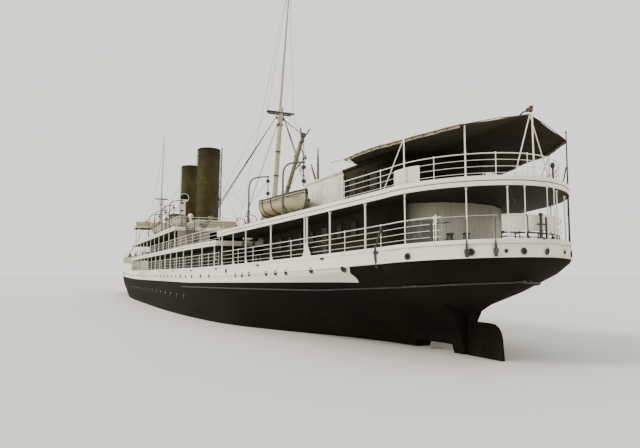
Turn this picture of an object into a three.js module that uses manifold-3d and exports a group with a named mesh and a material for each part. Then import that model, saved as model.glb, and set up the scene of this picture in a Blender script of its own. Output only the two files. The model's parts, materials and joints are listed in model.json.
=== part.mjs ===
// A 1:10 model of a two-funnelled passenger screw steamer of the early 1900s, afloat.
// Millimetres, +Z up, +X to the bow, +Y to port. The origin is amidships on the waterline.
// Sizes below are written in metres of the real ship and turned into model millimetres by SCALE.
// A place along the ship is d, the distance forward of the stern end of the deck.
import * as THREE from 'three';
import { mergeVertices } from 'three/addons/utils/BufferGeometryUtils.js';
import Module from 'manifold-3d';

const wasm = await Module();
wasm.setup();

const SCALE = 100; // model millimetres for one metre of the ship, a 1:10 model
const GAP = 0.003; // 0.3 mm on the model, left between pieces that rest on each other

// Hull
const LENGTH = 118;
const HALF_BEAM = 7.4;
const DRAUGHT = 4.4;
const STERN = { half: 4.6, round: 4.34, power: 1.87 };
const RUN = 32; // from the stern's rounding to the full beam
const ENTRANCE = 38; // from the full beam to the stem
const SIDE_HEIGHT = 4.12; // deck edge above the water amidships
const SHEER = { aft: 0.885, aftFrom: 36, fore: 2.0, foreFrom: 60 };
const BAND = 0.6; // height of the white band at the stern
const KEEL_HALF = 0.14;
const POST = { aft: 4.6, fore: 5.3, top: 1.96 }; // rudder post, and where the counter meets it
const FOREFOOT = { from: 112, rise: 3 };
const APERTURE = { aft: 5.3, fore: 8.0, low: -3.8, high: 0.4 };
const SHAFT = { z: -1.75, boss: 0.42, bossAft: 7.3, bossFore: 13 };

// Decks, as heights above the deck edge or above the water
const DECKING = 0.08;
const PLATE = 0.35; // depth of a deck's painted edge
const AFT_DECK = { fore: 23.5, rise: 2.2 };
const MID_DECK = { aft: 23.75, fore: 73, low: 5.8 };
const BOAT_DECK = { aft: 38, fore: 73, low: 7.95 };
const BREAK = 92.5; // aft end of the raised forecastle
const FORECASTLE_RISE = 2.1;
const BULWARK = { aft: 73.3, height: 1.15, thick: 0.1 };
const WALL = 0.12;
const DECK_MARGIN = 0.12;

// Houses: aft and fore ends, half width, rounding of the aft end
const AFT_HOUSE = { aft: 4.1, fore: 22.4, half: 3.7, round: 3.0 };
const MID_HOUSE = { aft: 26.5, fore: 71.4, half: 5.2, round: 0.6, entry: 1.8 };
const UPPER_HOUSE = { aft: 41.5, fore: 71.4, half: 5.0, round: 0.6, entry: 1.8 };
const CASING = { aft: 50.5, fore: 68.6, half: 2.5, high: 10.3 };
const COWLS = [[52, 1.7, 1.45, 0.2], [60.3, 2, 3.9, 0.36], [63.2, 1.9, 1.45, 0.2]]; // place, off, height, neck
const BRIDGE_HOUSE = { aft: 69.4, fore: 72.2, half: 2.9, round: 0.3, entry: 0.8 };
const BRIDGE_DECK = { aft: 68.9, fore: 72.9, low: 10.6, high: 10.8 };
const WHEELHOUSE = { aft: 69.6, fore: 72.3, half: 1.9, high: 13.0, roof: 0.12, eaves: 0.25 };
const SMOKE_ROOM = {
  aft: 6.3, fore: 16.4, half: 3.0, round: 0.6, entry: 0.8, top: 9.5, roof: 0.1, eaves: 0.12,
};
const SMOKE_WINDOWS = { places: [7.9, 10.1, 12.3, 14.5], half: 0.45, low: 8.0, high: 8.8 };
const DOOR = { width: 0.8, height: 1.7, entry: 1.4, sill: 0.12, clear: 0.06, thick: 0.12 };
const AFT_DOOR = 12.0; // middle of the after house's doors
const BRIDGE_DOOR = 70.2; // middle of the wheelhouse's doors

// Funnels and masts
const FUNNEL = { radius: 1.43, wall: 0.08, top: 20.4, rake: 0.05, places: [66.3, 55.6] };
const MAINMAST = { foot: 31.1, radius: 0.25, high: 30.5, rake: 0.2, trees: 18.1, shrouds: [1.2, 2.7] };
const FOREMAST = { foot: 94.6, radius: 0.25, high: 30.5, rake: 0.14, trees: 18.4, shrouds: [1.6, 3.2] };
const BOOM = { length: 10.2, radius: 0.16, table: 0.9, out: 0.52, lifts: { main: 50, fore: 35 } };
const RAIL = { height: 1.07, bar: 0.035, inset: 0.36, spacing: 4.5 };
const STANCHION = { half: 0.05, inset: 0.14, spacing: 3.2 };

// Boats and davits: middle of the boat, distance off the centreline, turn of the keel
const BOAT = { length: 6.2, half: 1.0, depth: 1.0, lift: 0.55, crown: 0.1 };
const AFT_BOAT = { middle: 16.7, off: 4.5, turn: 0.1 };
const DECK_BOATS = { middles: [47, 57.6], off: 5.55 };
const DAVIT = { spread: 2.45, inset: 0.62, height: 3.45, radius: 0.07, reach: 1.35 };

// Awning over the stern
const AWNING = {
  aft: 0.45, fore: 7.9, edge: 9.5, peak: 10.25, rise: 2.6, ridge: 9.9, inset: 0.25, cloth: 0.04,
};
const CANVAS = { half: 0.008, low: 0.36, high: 1.05, stern: 2, quarter: [2.6, 4.0] };

// Placing and lofting

const at = (d, y, z) => new THREE.Vector3((d - LENGTH / 2) * SCALE, y * SCALE, z * SCALE);
const clamp01 = (t) => Math.min(1, Math.max(0, t));
const smooth = (t) => clamp01(t) ** 2 * (3 - 2 * clamp01(t));

/** A closed body from a list of triangles' corners, facing outwards, with flat slivers dropped. */
function closedBody(corners) {
  const loose = new THREE.BufferGeometry();
  loose.setAttribute('position', new THREE.Float32BufferAttribute(corners.flatMap((p) => p.toArray()), 3));
  const body = mergeVertices(loose, 0.001);
  const index = body.getIndex().array;
  const kept = [];
  for (let i = 0; i < index.length; i += 3) {
    const [a, b, c] = index.slice(i, i + 3);
    if (a !== b && b !== c && c !== a) kept.push(a, b, c);
  }
  const p = body.getAttribute('position');
  const point = (i) => new THREE.Vector3().fromBufferAttribute(p, i);
  let volume = 0;
  for (let i = 0; i < kept.length; i += 3) {
    volume += point(kept[i]).dot(point(kept[i + 1]).cross(point(kept[i + 2])));
  }
  if (volume < 0) kept.reverse();
  body.setIndex(kept);
  return body;
}

/** Triangles that close a ring of points, as a strip between its first half and its second. */
function capOf(ring) {
  const last = ring.length - 1;
  return ring.slice(0, ring.length / 2 - 1).flatMap((p, i) => {
    const [next, across, beside] = [ring[i + 1], ring[last - 1 - i], ring[last - i]];
    return [p, next, across, p, across, beside];
  });
}

/** A skin over rings of equally many points, closed by caps, or by the first ring again. */
function loft(rings, endless = false) {
  const corners = [];
  const spans = endless ? rings.length : rings.length - 1;
  for (let i = 0; i < spans; i += 1) {
    const a = rings[i];
    const b = rings[(i + 1) % rings.length];
    for (let j = 0; j < a.length; j += 1) {
      const k = (j + 1) % a.length;
      corners.push(a[j], b[j], b[k], a[j], b[k], a[k]);
    }
  }
  if (!endless) corners.push(...capOf(rings[0]), ...capOf(rings.at(-1)).reverse());
  return closedBody(corners);
}

/** A manifold solid of a closed geometry. */
function solid(geometry) {
  const bare = geometry.clone();
  bare.deleteAttribute('normal');
  bare.deleteAttribute('uv');
  const merged = mergeVertices(bare, 0.001);
  const vertProperties = new Float32Array(merged.getAttribute('position').array);
  const triVerts = new Uint32Array(merged.getIndex().array);
  return new wasm.Manifold(new wasm.Mesh({ numProp: 3, vertProperties, triVerts }));
}

function geometryOf(body) {
  const mesh = body.getMesh();
  const geometry = new THREE.BufferGeometry();
  geometry.setAttribute('position', new THREE.Float32BufferAttribute(mesh.vertProperties, 3));
  geometry.setIndex([...mesh.triVerts]);
  return geometry;
}

const join = (...parts) => geometryOf(parts.map(solid).reduce((a, b) => a.add(b)));
const cut = (part, ...tools) => geometryOf(tools.map(solid).reduce((a, b) => a.subtract(b), solid(part)));

/** A block between two corners, in ship metres. */
function block(d0, d1, y0, y1, z0, z1) {
  const size = [d1 - d0, y1 - y0, z1 - z0].map((v) => v * SCALE);
  const middle = at((d0 + d1) / 2, (y0 + y1) / 2, (z0 + z1) / 2);
  return new THREE.BoxGeometry(...size).translate(middle.x, middle.y, middle.z);
}

/** A square post whose foot follows the floor it stands on and whose head follows a height. */
function post(d, y, half, floor, top) {
  const box = block(d - half, d + half, y - half, y + half, 0, 1);
  const p = box.getAttribute('position');
  for (let i = 0; i < p.count; i += 1) {
    const corner = p.getX(i) / SCALE + LENGTH / 2;
    p.setZ(i, SCALE * (p.getZ(i) > SCALE / 2 ? top(corner) : floor(corner) + GAP));
  }
  return box;
}

/** A round bar from one point to another, its end radii in ship metres. */
function rod(a, b, radius, sides = 6, endRadius = radius) {
  const along = b.clone().sub(a);
  const bar = new THREE.CylinderGeometry(endRadius * SCALE, radius * SCALE, along.length(), sides);
  const turn = new THREE.Quaternion().setFromUnitVectors(new THREE.Vector3(0, 1, 0), along.clone().normalize());
  const middle = a.clone().add(b).multiplyScalar(0.5);
  return bar.applyQuaternion(turn).translate(middle.x, middle.y, middle.z);
}

/** A round pipe along a smooth curve through points. */
function pipe(points, radius, sides = 6, steps = 8) {
  const section = new THREE.Shape();
  section.absarc(0, 0, radius * SCALE, 0, 2 * Math.PI, false);
  const extrudePath = new THREE.CatmullRomCurve3(points, false, 'catmullrom', 0.4);
  const curveSegments = sides / 2;
  return new THREE.ExtrudeGeometry(section, { extrudePath, steps, curveSegments, bevelEnabled: false });
}

// Lines of the hull

function deckHalf(d) {
  if (d < STERN.round) {
    const t = (STERN.round - Math.max(d, 0)) / STERN.round;
    return STERN.half * (1 - t ** STERN.power) ** (1 / STERN.power);
  }
  if (d < STERN.round + RUN) {
    return STERN.half + (HALF_BEAM - STERN.half) * (1 - (1 - (d - STERN.round) / RUN) ** 2);
  }
  const t = clamp01((LENGTH - d) / ENTRANCE);
  return HALF_BEAM * (1 - (1 - t) ** 2.2);
}

function sheer(d) {
  const aft = clamp01((SHEER.aftFrom - d) / SHEER.aftFrom);
  const fore = clamp01((d - SHEER.foreFrom) / (LENGTH - SHEER.foreFrom));
  return SIDE_HEIGHT + SHEER.aft * aft ** 2.2 + SHEER.fore * fore ** 2;
}

/** Height of the deck's edge: the sheer, straight between stations, so that pieces lie flush on it. */
function deckEdge(d) {
  const i = Math.min(Math.max(STATIONS.findIndex((s) => s > d), 1), STATIONS.length - 1);
  const fore = d >= STATIONS.at(-1) ? STATIONS.length - 1 : i;
  const [a, b] = [STATIONS[fore - 1], STATIONS[fore]];
  return sheer(a) + ((sheer(b) - sheer(a)) * (d - a)) / (b - a);
}

function bottom(d) {
  if (d < POST.aft) {
    const rise = deckEdge(0) - BAND - 0.05 - POST.top;
    return POST.top + rise * (1 - d / POST.aft) ** 1.6;
  }
  return -DRAUGHT + FOREFOOT.rise * clamp01((d - FOREFOOT.from) / (LENGTH - FOREFOOT.from)) ** 2.5;
}

/** Half breadth of the hull at a height: a bowl aft of the post, else a run blended with a box. */
function hullHalf(d, z) {
  const knuckle = deckEdge(d) - BAND;
  const full = Math.max(deckHalf(d), 0.1);
  const t = clamp01((z - bottom(d)) / (knuckle - bottom(d)));
  if (d < POST.aft) return Math.max(KEEL_HALF, full * Math.sin((t * Math.PI) / 2) ** 0.9);
  const aft = clamp01((d - POST.aft) / (RUN - POST.aft));
  const fore = clamp01((d - 80) / (LENGTH - 80));
  const power = 0.8 + 7.2 * (1 - aft) ** 3 + 0.7 * fore;
  const fine = 1 - (1 - t ** power) ** 2;
  const bilge = clamp01((z + DRAUGHT) / 2.2);
  const boxy = 0.74 + 0.26 * Math.sqrt(1 - (1 - bilge) ** 2);
  const middle = smooth((d - 18) / 28) * (1 - smooth((d - 64) / 32));
  return Math.min(full, KEEL_HALF + (full - KEEL_HALF) * (fine + (boxy - fine) * middle));
}

// Stations shared by every piece that follows the deck's sheer
const STERN_STEPS = 7;
const STATIONS = [
  ...Array.from({ length: STERN_STEPS }, (_, i) => (
    STERN.round * (1 - Math.cos((Math.PI / 2) * ((i + 0.9) / (STERN_STEPS - 0.1)) ** 1.2)))),
  POST.aft - 0.02, POST.aft, 6, 8, 10.5, 13, 16, 19, 22, 25, 28, 32, 36, 41, 46, 53, 60, 67, 73,
  78, 83, 88, 92.5, 96, 100, 104, 108, 111, 113.5, 115.5, 117, 118,
];

const stations = (d0, d1) => [d0, ...STATIONS.filter((d) => d > d0 + 0.05 && d < d1 - 0.05), d1];

/** A level plate across the ship, its edges the deck edge less an inset. */
function plate(d0, d1, inset, low, high) {
  return loft(stations(d0, d1).map((d) => {
    const y = Math.max(deckHalf(d) - inset, 0.05);
    return [at(d, -y, low(d)), at(d, y, low(d)), at(d, y, high(d)), at(d, -y, high(d))];
  }));
}

function hull() {
  const below = [0, 0.02, 0.06, 0.14, 0.26, 0.42, 0.6, 0.7, 0.84, 1];
  const above = [0.3, 0.6, 0.85];
  const rings = STATIONS.map((d) => {
    const low = bottom(d);
    const joint = Math.max(low, POST.top);
    const top = deckEdge(d);
    const knuckle = top - BAND;
    const heights = [...below.map((t) => low + t * (joint - low)),
      ...above.map((t) => joint + t * (knuckle - joint)), knuckle, top];
    const port = heights.map((z) => at(d, hullHalf(d, z), z));
    return [...port, ...port.map((p) => new THREE.Vector3(p.x, -p.y, p.z)).reverse()];
  });
  const body = loft(rings);
  const boss = rod(at(SHAFT.bossAft, 0, SHAFT.z), at(SHAFT.bossFore, 0, SHAFT.z), SHAFT.boss, 12);
  const heel = block(RUDDER.axis - 0.18, POST.fore, -KEEL_HALF, KEEL_HALF, -DRAUGHT, RUDDER.heel);
  const opening = block(APERTURE.aft, APERTURE.fore, -2, 2, APERTURE.low, APERTURE.high);
  return join(cut(body, opening), boss, heel);
}

// Rudder and screw

const RUDDER = { axis: 4.36, stock: 0.13, aft: 2.1, low: -4.0, high: 1.55, heel: -4.15, half: 0.09 };
const SCREW = { radius: 1.85, hub: 0.36, aft: 6.15, fore: SHAFT.bossAft - GAP, blades: 4 };

function rudder() {
  const blade = new THREE.Shape();
  blade.moveTo(RUDDER.axis, RUDDER.low);
  blade.lineTo(RUDDER.aft + 0.5, RUDDER.low);
  blade.quadraticCurveTo(RUDDER.aft, RUDDER.low, RUDDER.aft, RUDDER.low + 1.2);
  blade.lineTo(RUDDER.aft + 0.3, RUDDER.high - 0.6);
  blade.quadraticCurveTo(RUDDER.aft + 0.4, RUDDER.high, RUDDER.aft + 1, RUDDER.high);
  blade.lineTo(RUDDER.axis, RUDDER.high);
  const plateOf = new THREE.ExtrudeGeometry(blade, {
    depth: 2 * RUDDER.half, curveSegments: 4, bevelEnabled: false,
  });
  plateOf.translate(-LENGTH / 2, 0, -RUDDER.half).scale(SCALE, SCALE, SCALE).rotateX(Math.PI / 2);
  const stock = rod(at(RUDDER.axis, 0, RUDDER.heel + GAP), at(RUDDER.axis, 0, 1.85), RUDDER.stock, 10);
  return join(plateOf, stock);
}

function screw() {
  const parts = [rod(at(SCREW.fore, 0, SHAFT.z), at(SCREW.aft, 0, SHAFT.z), SCREW.hub, 12, 0.16)];
  for (let i = 0; i < SCREW.blades; i += 1) {
    const outline = new THREE.Shape();
    outline.moveTo(-0.2, 0.2);
    outline.quadraticCurveTo(-0.8, 1.2, -0.42, SCREW.radius - 0.12);
    outline.quadraticCurveTo(0, SCREW.radius + 0.08, 0.42, SCREW.radius - 0.12);
    outline.quadraticCurveTo(0.8, 1.2, 0.2, 0.2);
    const blade = new THREE.ExtrudeGeometry(outline, { depth: 0.1, curveSegments: 4, bevelEnabled: false });
    blade.translate(0, 0, -0.05).scale(SCALE, SCALE, SCALE).rotateY(1.0);
    blade.rotateX(Math.PI / 2 + (i * 2 * Math.PI) / SCREW.blades);
    const hub = at((SCREW.aft + SCREW.fore) / 2 + 0.1, 0, SHAFT.z);
    parts.push(blade.translate(hub.x, hub.y, hub.z));
  }
  return join(...parts);
}

// Fences, walls and decks

/** A place on the port deck edge moved inwards, square to the edge. */
function insetPlace(d, inset) {
  const rise = (deckHalf(d + 0.01) - deckHalf(d - 0.01)) / 0.02;
  const length = Math.hypot(1, rise);
  return [d + (inset * rise) / length, Math.max(deckHalf(d) - inset / length, 0)];
}

/** Places [d, y] along the deck edge from port round the stern to starboard, or on one side. */
function edgePath(d0, d1, inset, side = 0) {
  const port = stations(side ? d0 : STATIONS[0], d1).map((d) => insetPlace(d, inset));
  const starboard = port.map(([d, y]) => [d, -y]);
  if (side) return side > 0 ? port.reverse() : starboard;
  return [...port.reverse(), ...starboard];
}

/** An upright strip of a given half thickness along a path, between two heights. */
function fence(path, half, low, high, endless = false) {
  const last = path.length - 1;
  const rings = path.map(([d, y], i) => {
    const before = path[i > 0 ? i - 1 : endless ? last : 0];
    const after = path[i < last ? i + 1 : endless ? 0 : last];
    const into = new THREE.Vector2(d - before[0], y - before[1]).normalize();
    const out = new THREE.Vector2(after[0] - d, after[1] - y).normalize();
    const mean = into.clone().add(out).normalize();
    const mitre = half / Math.max(0.5, mean.dot(i > 0 || endless ? into : out));
    const [nd, ny] = [-mean.y * mitre, mean.x * mitre];
    const [zl, zh] = [low(d), high(d)];
    return [at(d + nd, y + ny, zl), at(d - nd, y - ny, zl), at(d - nd, y - ny, zh), at(d + nd, y + ny, zh)];
  });
  return loft(rings, endless);
}

/** Places at even spacing along a path, ends included. */
function spaced(path, spacing, endless = false) {
  const points = (endless ? [...path, path[0]] : path).map(([d, y]) => new THREE.Vector3(d, y, 0));
  const line = new THREE.CurvePath();
  points.slice(1).forEach((p, i) => line.add(new THREE.LineCurve3(points[i], p)));
  const count = Math.max(1, Math.round(line.getLength() / spacing));
  const places = Array.from({ length: count + (endless ? 0 : 1) }, (_, i) => line.getPointAt(i / count));
  return places.map((p) => [p.x, p.y]);
}

/** A rail: an even row of posts under a top bar. */
function rail(path, floor, { spacing = RAIL.spacing, endless = false } = {}) {
  const bar = fence(path, RAIL.bar, (d) => floor(d) + RAIL.height - 2 * RAIL.bar,
    (d) => floor(d) + RAIL.height, endless);
  const posts = spaced(path, spacing, endless).map(([d, y]) => (
    post(d, y, RAIL.bar, floor, (corner) => floor(corner) + RAIL.height - RAIL.bar)));
  return join(bar, ...posts);
}

/** Plan of a house's wall, with a rounded aft end. */
function housePath({ aft, fore, half, round }) {
  const turns = 8;
  const long = stations(aft + round, fore);
  const port = long.map((d) => [d, half]).reverse();
  const end = Array.from({ length: turns - 1 }, (_, i) => {
    const a = (Math.PI * (i + 1)) / turns;
    return [aft + round * (1 - Math.sin(a)), half * Math.cos(a)];
  });
  const corner = [[aft + round * 0.3, half - round * 0.3], [aft, half - round]];
  const square = [...corner, ...corner.map(([d, y]) => [d, -y]).reverse()];
  return [...port, ...(round > 1 ? end : square), ...long.map((d) => [d, -half])];
}

const house = (plan, low, high) => fence(housePath(plan), WALL / 2, low, high, true);

/** A house with an open doorway in the middle of its after end. */
function houseWithEntry(plan, floor, high) {
  const sill = floor(plan.aft) + DOOR.sill;
  const wide = plan.entry / 2;
  const entry = block(plan.aft - 0.3, plan.aft + 0.3, -wide, wide, sill, sill + DOOR.entry);
  return cut(house(plan, raised(floor), high), entry);
}

/** Openings for a pair of doors, port and starboard, in walls at a half width. */
function doorways(middle, half, floor) {
  return [1, -1].map((side) => block(middle - DOOR.width / 2, middle + DOOR.width / 2,
    side * half - 2 * WALL, side * half + 2 * WALL, floor + DOOR.sill, floor + DOOR.sill + DOOR.height));
}

/** A door that fills its opening but for a clearance all round. */
function door(middle, half, floor, side) {
  const [d0, d1] = [middle - DOOR.width / 2 + DOOR.clear, middle + DOOR.width / 2 - DOOR.clear];
  const [z0, z1] = [floor + DOOR.sill + GAP, floor + DOOR.sill + DOOR.height - DOOR.clear];
  return block(d0, d1, side * half - DOOR.thick / 2, side * half + DOOR.thick / 2, z0, z1);
}

const mainFloor = (d) => deckEdge(d) + DECKING;
const aftLow = (d) => deckEdge(d) + AFT_DECK.rise;
const aftFloor = (d) => aftLow(d) + PLATE;
const midFloor = () => MID_DECK.low + PLATE;
const boatFloor = () => BOAT_DECK.low + PLATE;
const bridgeFloor = () => BRIDGE_DECK.high;
const raised = (floor) => (d) => floor(d) + GAP;
const lowered = (ceiling) => (d) => ceiling(d) - GAP;

/** A deck whose posts reach down to the edge of the deck below. */
function deckOnPosts(d0, d1, low, floor, places) {
  const posts = places.map(([d, y]) => post(d, y, STANCHION.half, floor, (corner) => low(corner) + PLATE / 2));
  return join(plate(d0, d1, 0, low, (d) => low(d) + PLATE), ...posts);
}

// Places of the after deck's stanchions forward of its rounded end
const AFT_STANCHIONS = [5.8, 8.4, 10.6, 12.8, 14.6, 16.6, 18.4, 20.6, 22.8];

function pairs(distances, inset) {
  return distances.flatMap((d) => [[d, deckHalf(d) - inset], [d, -deckHalf(d) + inset]]);
}

function aftDeck() {
  const places = [[0.42, 1.35], [0.42, -1.35], ...pairs([1.15], 0.3), ...pairs([3.0], 0.18),
    ...pairs(AFT_STANCHIONS, STANCHION.inset)];
  return deckOnPosts(0.02, AFT_DECK.fore, aftLow, mainFloor, places);
}

function midDeck() {
  const count = Math.floor((MID_DECK.fore - MID_DECK.aft - 1) / STANCHION.spacing);
  const places = Array.from({ length: count + 1 }, (_, i) => MID_DECK.aft + 0.7 + i * STANCHION.spacing);
  return deckOnPosts(MID_DECK.aft, MID_DECK.fore, () => MID_DECK.low, mainFloor,
    pairs(places, STANCHION.inset));
}

function boatDeck() {
  const count = Math.floor((BOAT_DECK.fore - BOAT_DECK.aft - 1) / STANCHION.spacing);
  const places = Array.from({ length: count + 1 }, (_, i) => BOAT_DECK.aft + 0.5 + i * STANCHION.spacing);
  return deckOnPosts(BOAT_DECK.aft, BOAT_DECK.fore, () => BOAT_DECK.low, midFloor,
    pairs(places, STANCHION.inset));
}

function bridgeDeck() {
  const wing = (d) => deckHalf(d);
  const floorPlate = block(BRIDGE_DECK.aft, BRIDGE_DECK.fore, -wing(BRIDGE_DECK.fore),
    wing(BRIDGE_DECK.fore), BRIDGE_DECK.low + GAP, BRIDGE_DECK.high);
  const places = pairs([BRIDGE_DECK.aft + 0.2, BRIDGE_DECK.fore - 0.25], STANCHION.inset + 0.35);
  const posts = places.map(([d, y]) => post(d, y, 0.06, boatFloor, () => BRIDGE_DECK.low + 0.1));
  return join(floorPlate, ...posts);
}

function mainDeck() {
  const half = (d) => deckHalf(d > LENGTH / 2 ? d + DECK_MARGIN : d - DECK_MARGIN) - DECK_MARGIN;
  return loft(stations(DECK_MARGIN + 0.04, BREAK - 0.05).map((d) => {
    const [y, z] = [half(d), deckEdge(d)];
    return [at(d, -y, z + GAP), at(d, y, z + GAP), at(d, y, z + DECKING), at(d, -y, z + DECKING)];
  }));
}

/** The raised forecastle, whose side plating runs aft as a bulwark round the well. */
function forecastle() {
  const top = (d) => deckEdge(d) + FORECASTLE_RISE;
  const body = plate(BREAK, LENGTH - 0.1, 0, raised(deckEdge), top);
  const sides = [1, -1].map((side) => fence(edgePath(BULWARK.aft, BREAK + 1, BULWARK.thick * 0.6, side),
    BULWARK.thick / 2, raised(deckEdge), (d) => deckEdge(d) + BULWARK.height));
  return join(body, ...sides);
}

// Houses

function aftHouse() {
  const wall = house(AFT_HOUSE, raised(mainFloor), lowered(aftLow));
  return cut(wall, ...doorways(AFT_DOOR, AFT_HOUSE.half, mainFloor(AFT_DOOR)));
}

/** The smoke room on the after deck: walls with windows, an entry aft and a flat roof with eaves. */
function smokeRoom() {
  const { aft, fore, half, top, roof, eaves } = SMOKE_ROOM;
  const { places, half: wide, low, high } = SMOKE_WINDOWS;
  const walls = houseWithEntry(SMOKE_ROOM, aftFloor, () => top - roof / 2);
  const lights = places.map((d) => block(d - wide, d + wide, -half - 1, half + 1, low, high));
  const lid = block(aft - eaves, fore + eaves, -half - eaves, half + eaves, top - roof, top);
  return join(cut(walls, ...lights), lid);
}

/** The engine casing, with cowl ventilators and a skylight on its top. */
function casing() {
  const { aft, fore, half, high } = CASING;
  const body = block(aft, fore, -half, half, boatFloor() + GAP, high);
  const cowls = [];
  for (const [d, y, tall, neck] of COWLS) {
    for (const side of [1, -1]) {
      const back = at(d - neck, side * y, high + tall - 0.15);
      const mouth = at(d + 2.1 * neck, side * y, high + tall + 0.05);
      cowls.push(rod(at(d, side * y, high - 0.05), at(d, side * y, high + tall), neck, 8));
      cowls.push(rod(back, mouth, 1.3 * neck, 8, 2.1 * neck));
    }
  }
  const light = block(60, 62, -0.9, 0.9, high - 0.05, high + 0.55);
  return join(body, light, ...cowls);
}

function wheelhouse() {
  const { aft, fore, half, high, roof, eaves } = WHEELHOUSE;
  const floor = bridgeFloor() + GAP;
  const outer = block(aft, fore, -half, half, floor, high);
  const top = block(aft - eaves, fore + eaves, -half - eaves, half + eaves, high - roof, high);
  const inner = block(aft + WALL, fore - WALL, -half + WALL, half - WALL, floor - 0.1, high - roof);
  const [sill, head] = [floor + 1.05, high - 0.4];
  const windows = [-1.48, -0.74, 0, 0.74, 1.48].map((y) => block(fore - 0.3, fore + 0.1,
    y - 0.29, y + 0.29, sill, head));
  const lights = [1, -1].map((side) => block(71.1, 71.8, side * half - 0.3, side * half + 0.3, sill, head));
  const doors = doorways(BRIDGE_DOOR, half - WALL / 2, bridgeFloor());
  return cut(join(outer, top), inner, ...windows, ...lights, ...doors);
}

// Hatches and deck gear

function hatch(d0, d1, half, floor, height) {
  const low = raised(floor);
  return join(
    loft([d0, (d0 + d1) / 2, d1].map((d) => [at(d, -half, low(d)), at(d, half, low(d)),
      at(d, half, floor(d) + height), at(d, -half, floor(d) + height)])),
    block(d0 + 0.15, d1 - 0.15, -half + 0.15, half - 0.15, floor(d0) + 0.3, floor(d1) + height + 0.12),
  );
}

function windlass() {
  const floor = deckEdge(106) + FORECASTLE_RISE;
  const bed = block(105.3, 106.9, -1.5, 1.5, floor - 0.05, floor + 0.2);
  const barrel = rod(at(106, -1.75, floor + 0.7), at(106, 1.75, floor + 0.7), 0.3, 10);
  const cheeks = [-1.3, 0, 1.3].map((y) => block(105.6, 106.4, y - 0.15, y + 0.15, floor, floor + 1.15));
  const floorCut = plate(104, 108, 0, (d) => deckEdge(d), (d) => deckEdge(d) + FORECASTLE_RISE + GAP);
  return cut(join(bed, barrel, ...cheeks), floorCut);
}

// Funnels

function funnel(d) {
  const { radius, wall, top, rake } = FUNNEL;
  const foot = CASING.high + GAP;
  const height = (top - foot) * SCALE;
  const [inner, outer] = [(radius - wall) * SCALE, radius * SCALE];
  const profile = [[inner, 0], [outer + 0.1 * SCALE, 0], [outer + 0.1 * SCALE, 0.15 * SCALE],
    [outer, 0.2 * SCALE], [outer, height - 0.25 * SCALE], [outer + 0.05 * SCALE, height - 0.2 * SCALE],
    [outer + 0.05 * SCALE, height], [inner, height], [inner, 0]].map(([r, z]) => new THREE.Vector2(r, z));
  const tube = new THREE.LatheGeometry(profile, 20).rotateX(Math.PI / 2);
  const lean = new THREE.Matrix4().set(1, 0, -rake, 0, 0, 1, 0, 0, 0, 0, 1, 0, 0, 0, 0, 1);
  const place = at(d, 0, foot);
  tube.applyMatrix4(lean).translate(place.x, place.y, place.z);
  const back = (z) => at(d - radius - 0.12 - rake * (z - foot), 0, z);
  const steam = rod(back(foot + 0.12), back(top + 0.3), 0.13, 8);
  return join(tube, steam);
}

// Masts and booms

const mastAt = ({ foot, rake }, floor, z) => foot - rake * (z - floor);

/** A mast in two lengths, its crosstrees, shrouds, stays and the table that carries the boom. */
function mast(plan, deck, stay) {
  const { foot, radius, high, trees, shrouds } = plan;
  const floor = deck(foot);
  const spine = (z) => at(mastAt(plan, floor, z), 0, z);
  const ahead = (z, gap) => at(mastAt(plan, floor, z) + gap, 0, z);
  const top = mastAt(plan, floor, trees);
  const parts = [
    rod(spine(floor - 0.1), spine(trees + 0.4), radius, 10, radius * 0.75),
    rod(ahead(trees - 1.2, 0.3), ahead(high, 0.3), 0.14, 8, 0.06),
    block(top - 0.25, top + 0.5, -1.3, 1.3, trees - 0.06, trees + 0.06),
    block(top - 0.2, top + 0.5, -0.22, 0.22, trees - 1.3, trees - 1.0),
  ];
  const table = floor + BOOM.table;
  const hold = mastAt(plan, floor, table);
  parts.push(block(hold - 0.75, hold, -0.2, 0.2, table - 0.12, table));
  for (const side of [1, -1]) {
    for (const fore of shrouds) {
      const d = foot + fore;
      const chain = at(d, side * (deckHalf(d) - 0.7), deck(d) + 0.04);
      parts.push(rod(chain, at(mastAt(plan, floor, trees) + 0.1, side * 0.15, trees - 0.03), 0.035, 4));
    }
  }
  parts.push(rod(at(stay.d, 0, stay.z + 0.05), spine(trees - 0.2), 0.04, 4));
  return cut(join(...parts), plate(foot - 1, foot + 1, 0, (d) => deck(d) - 1, raised(deck)));
}

/** The swivel on a mast's table: a stout pin with two cheeks for the boom's heel. */
function swivelPlace(plan, floor) {
  const z = floor + BOOM.table;
  return { d: mastAt(plan, floor, z) - BOOM.out, z };
}

function swivel(plan, floor) {
  const { d, z } = swivelPlace(plan, floor);
  const pin = rod(at(d, 0, z + GAP), at(d, 0, z + 0.34), 0.13, 10);
  const cheeks = [1, -1].map((side) => block(d - 0.42, d + 0.02, side * 0.15 - 0.03, side * 0.15 + 0.03,
    z + 0.06, z + 0.36));
  const back = block(d - 0.1, d + 0.06, -0.17, 0.17, z + 0.08, z + 0.3);
  return join(pin, back, ...cheeks);
}

/** A boom at a lift in degrees above level, pointing aft from its swivel. */
function boom(plan, floor, lift) {
  const { d, z } = swivelPlace(plan, floor);
  const heel = { d: d - 0.3, z: z + 0.2 };
  const a = (lift * Math.PI) / 180;
  const along = (r) => at(heel.d - r * Math.cos(a), 0, heel.z + r * Math.sin(a));
  return join(
    rod(at(heel.d, -0.117, heel.z), at(heel.d, 0.117, heel.z), 0.1, 10),
    rod(along(0), along(0.5), 0.1, 8),
    rod(along(0.4), along(BOOM.length * 0.5), 0.12, 8, BOOM.radius),
    rod(along(BOOM.length * 0.5), along(BOOM.length), BOOM.radius, 8, 0.1),
    rod(along(BOOM.length - 0.35), along(BOOM.length - 0.1), 0.17, 8),
  );
}

// Boats and davits

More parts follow.
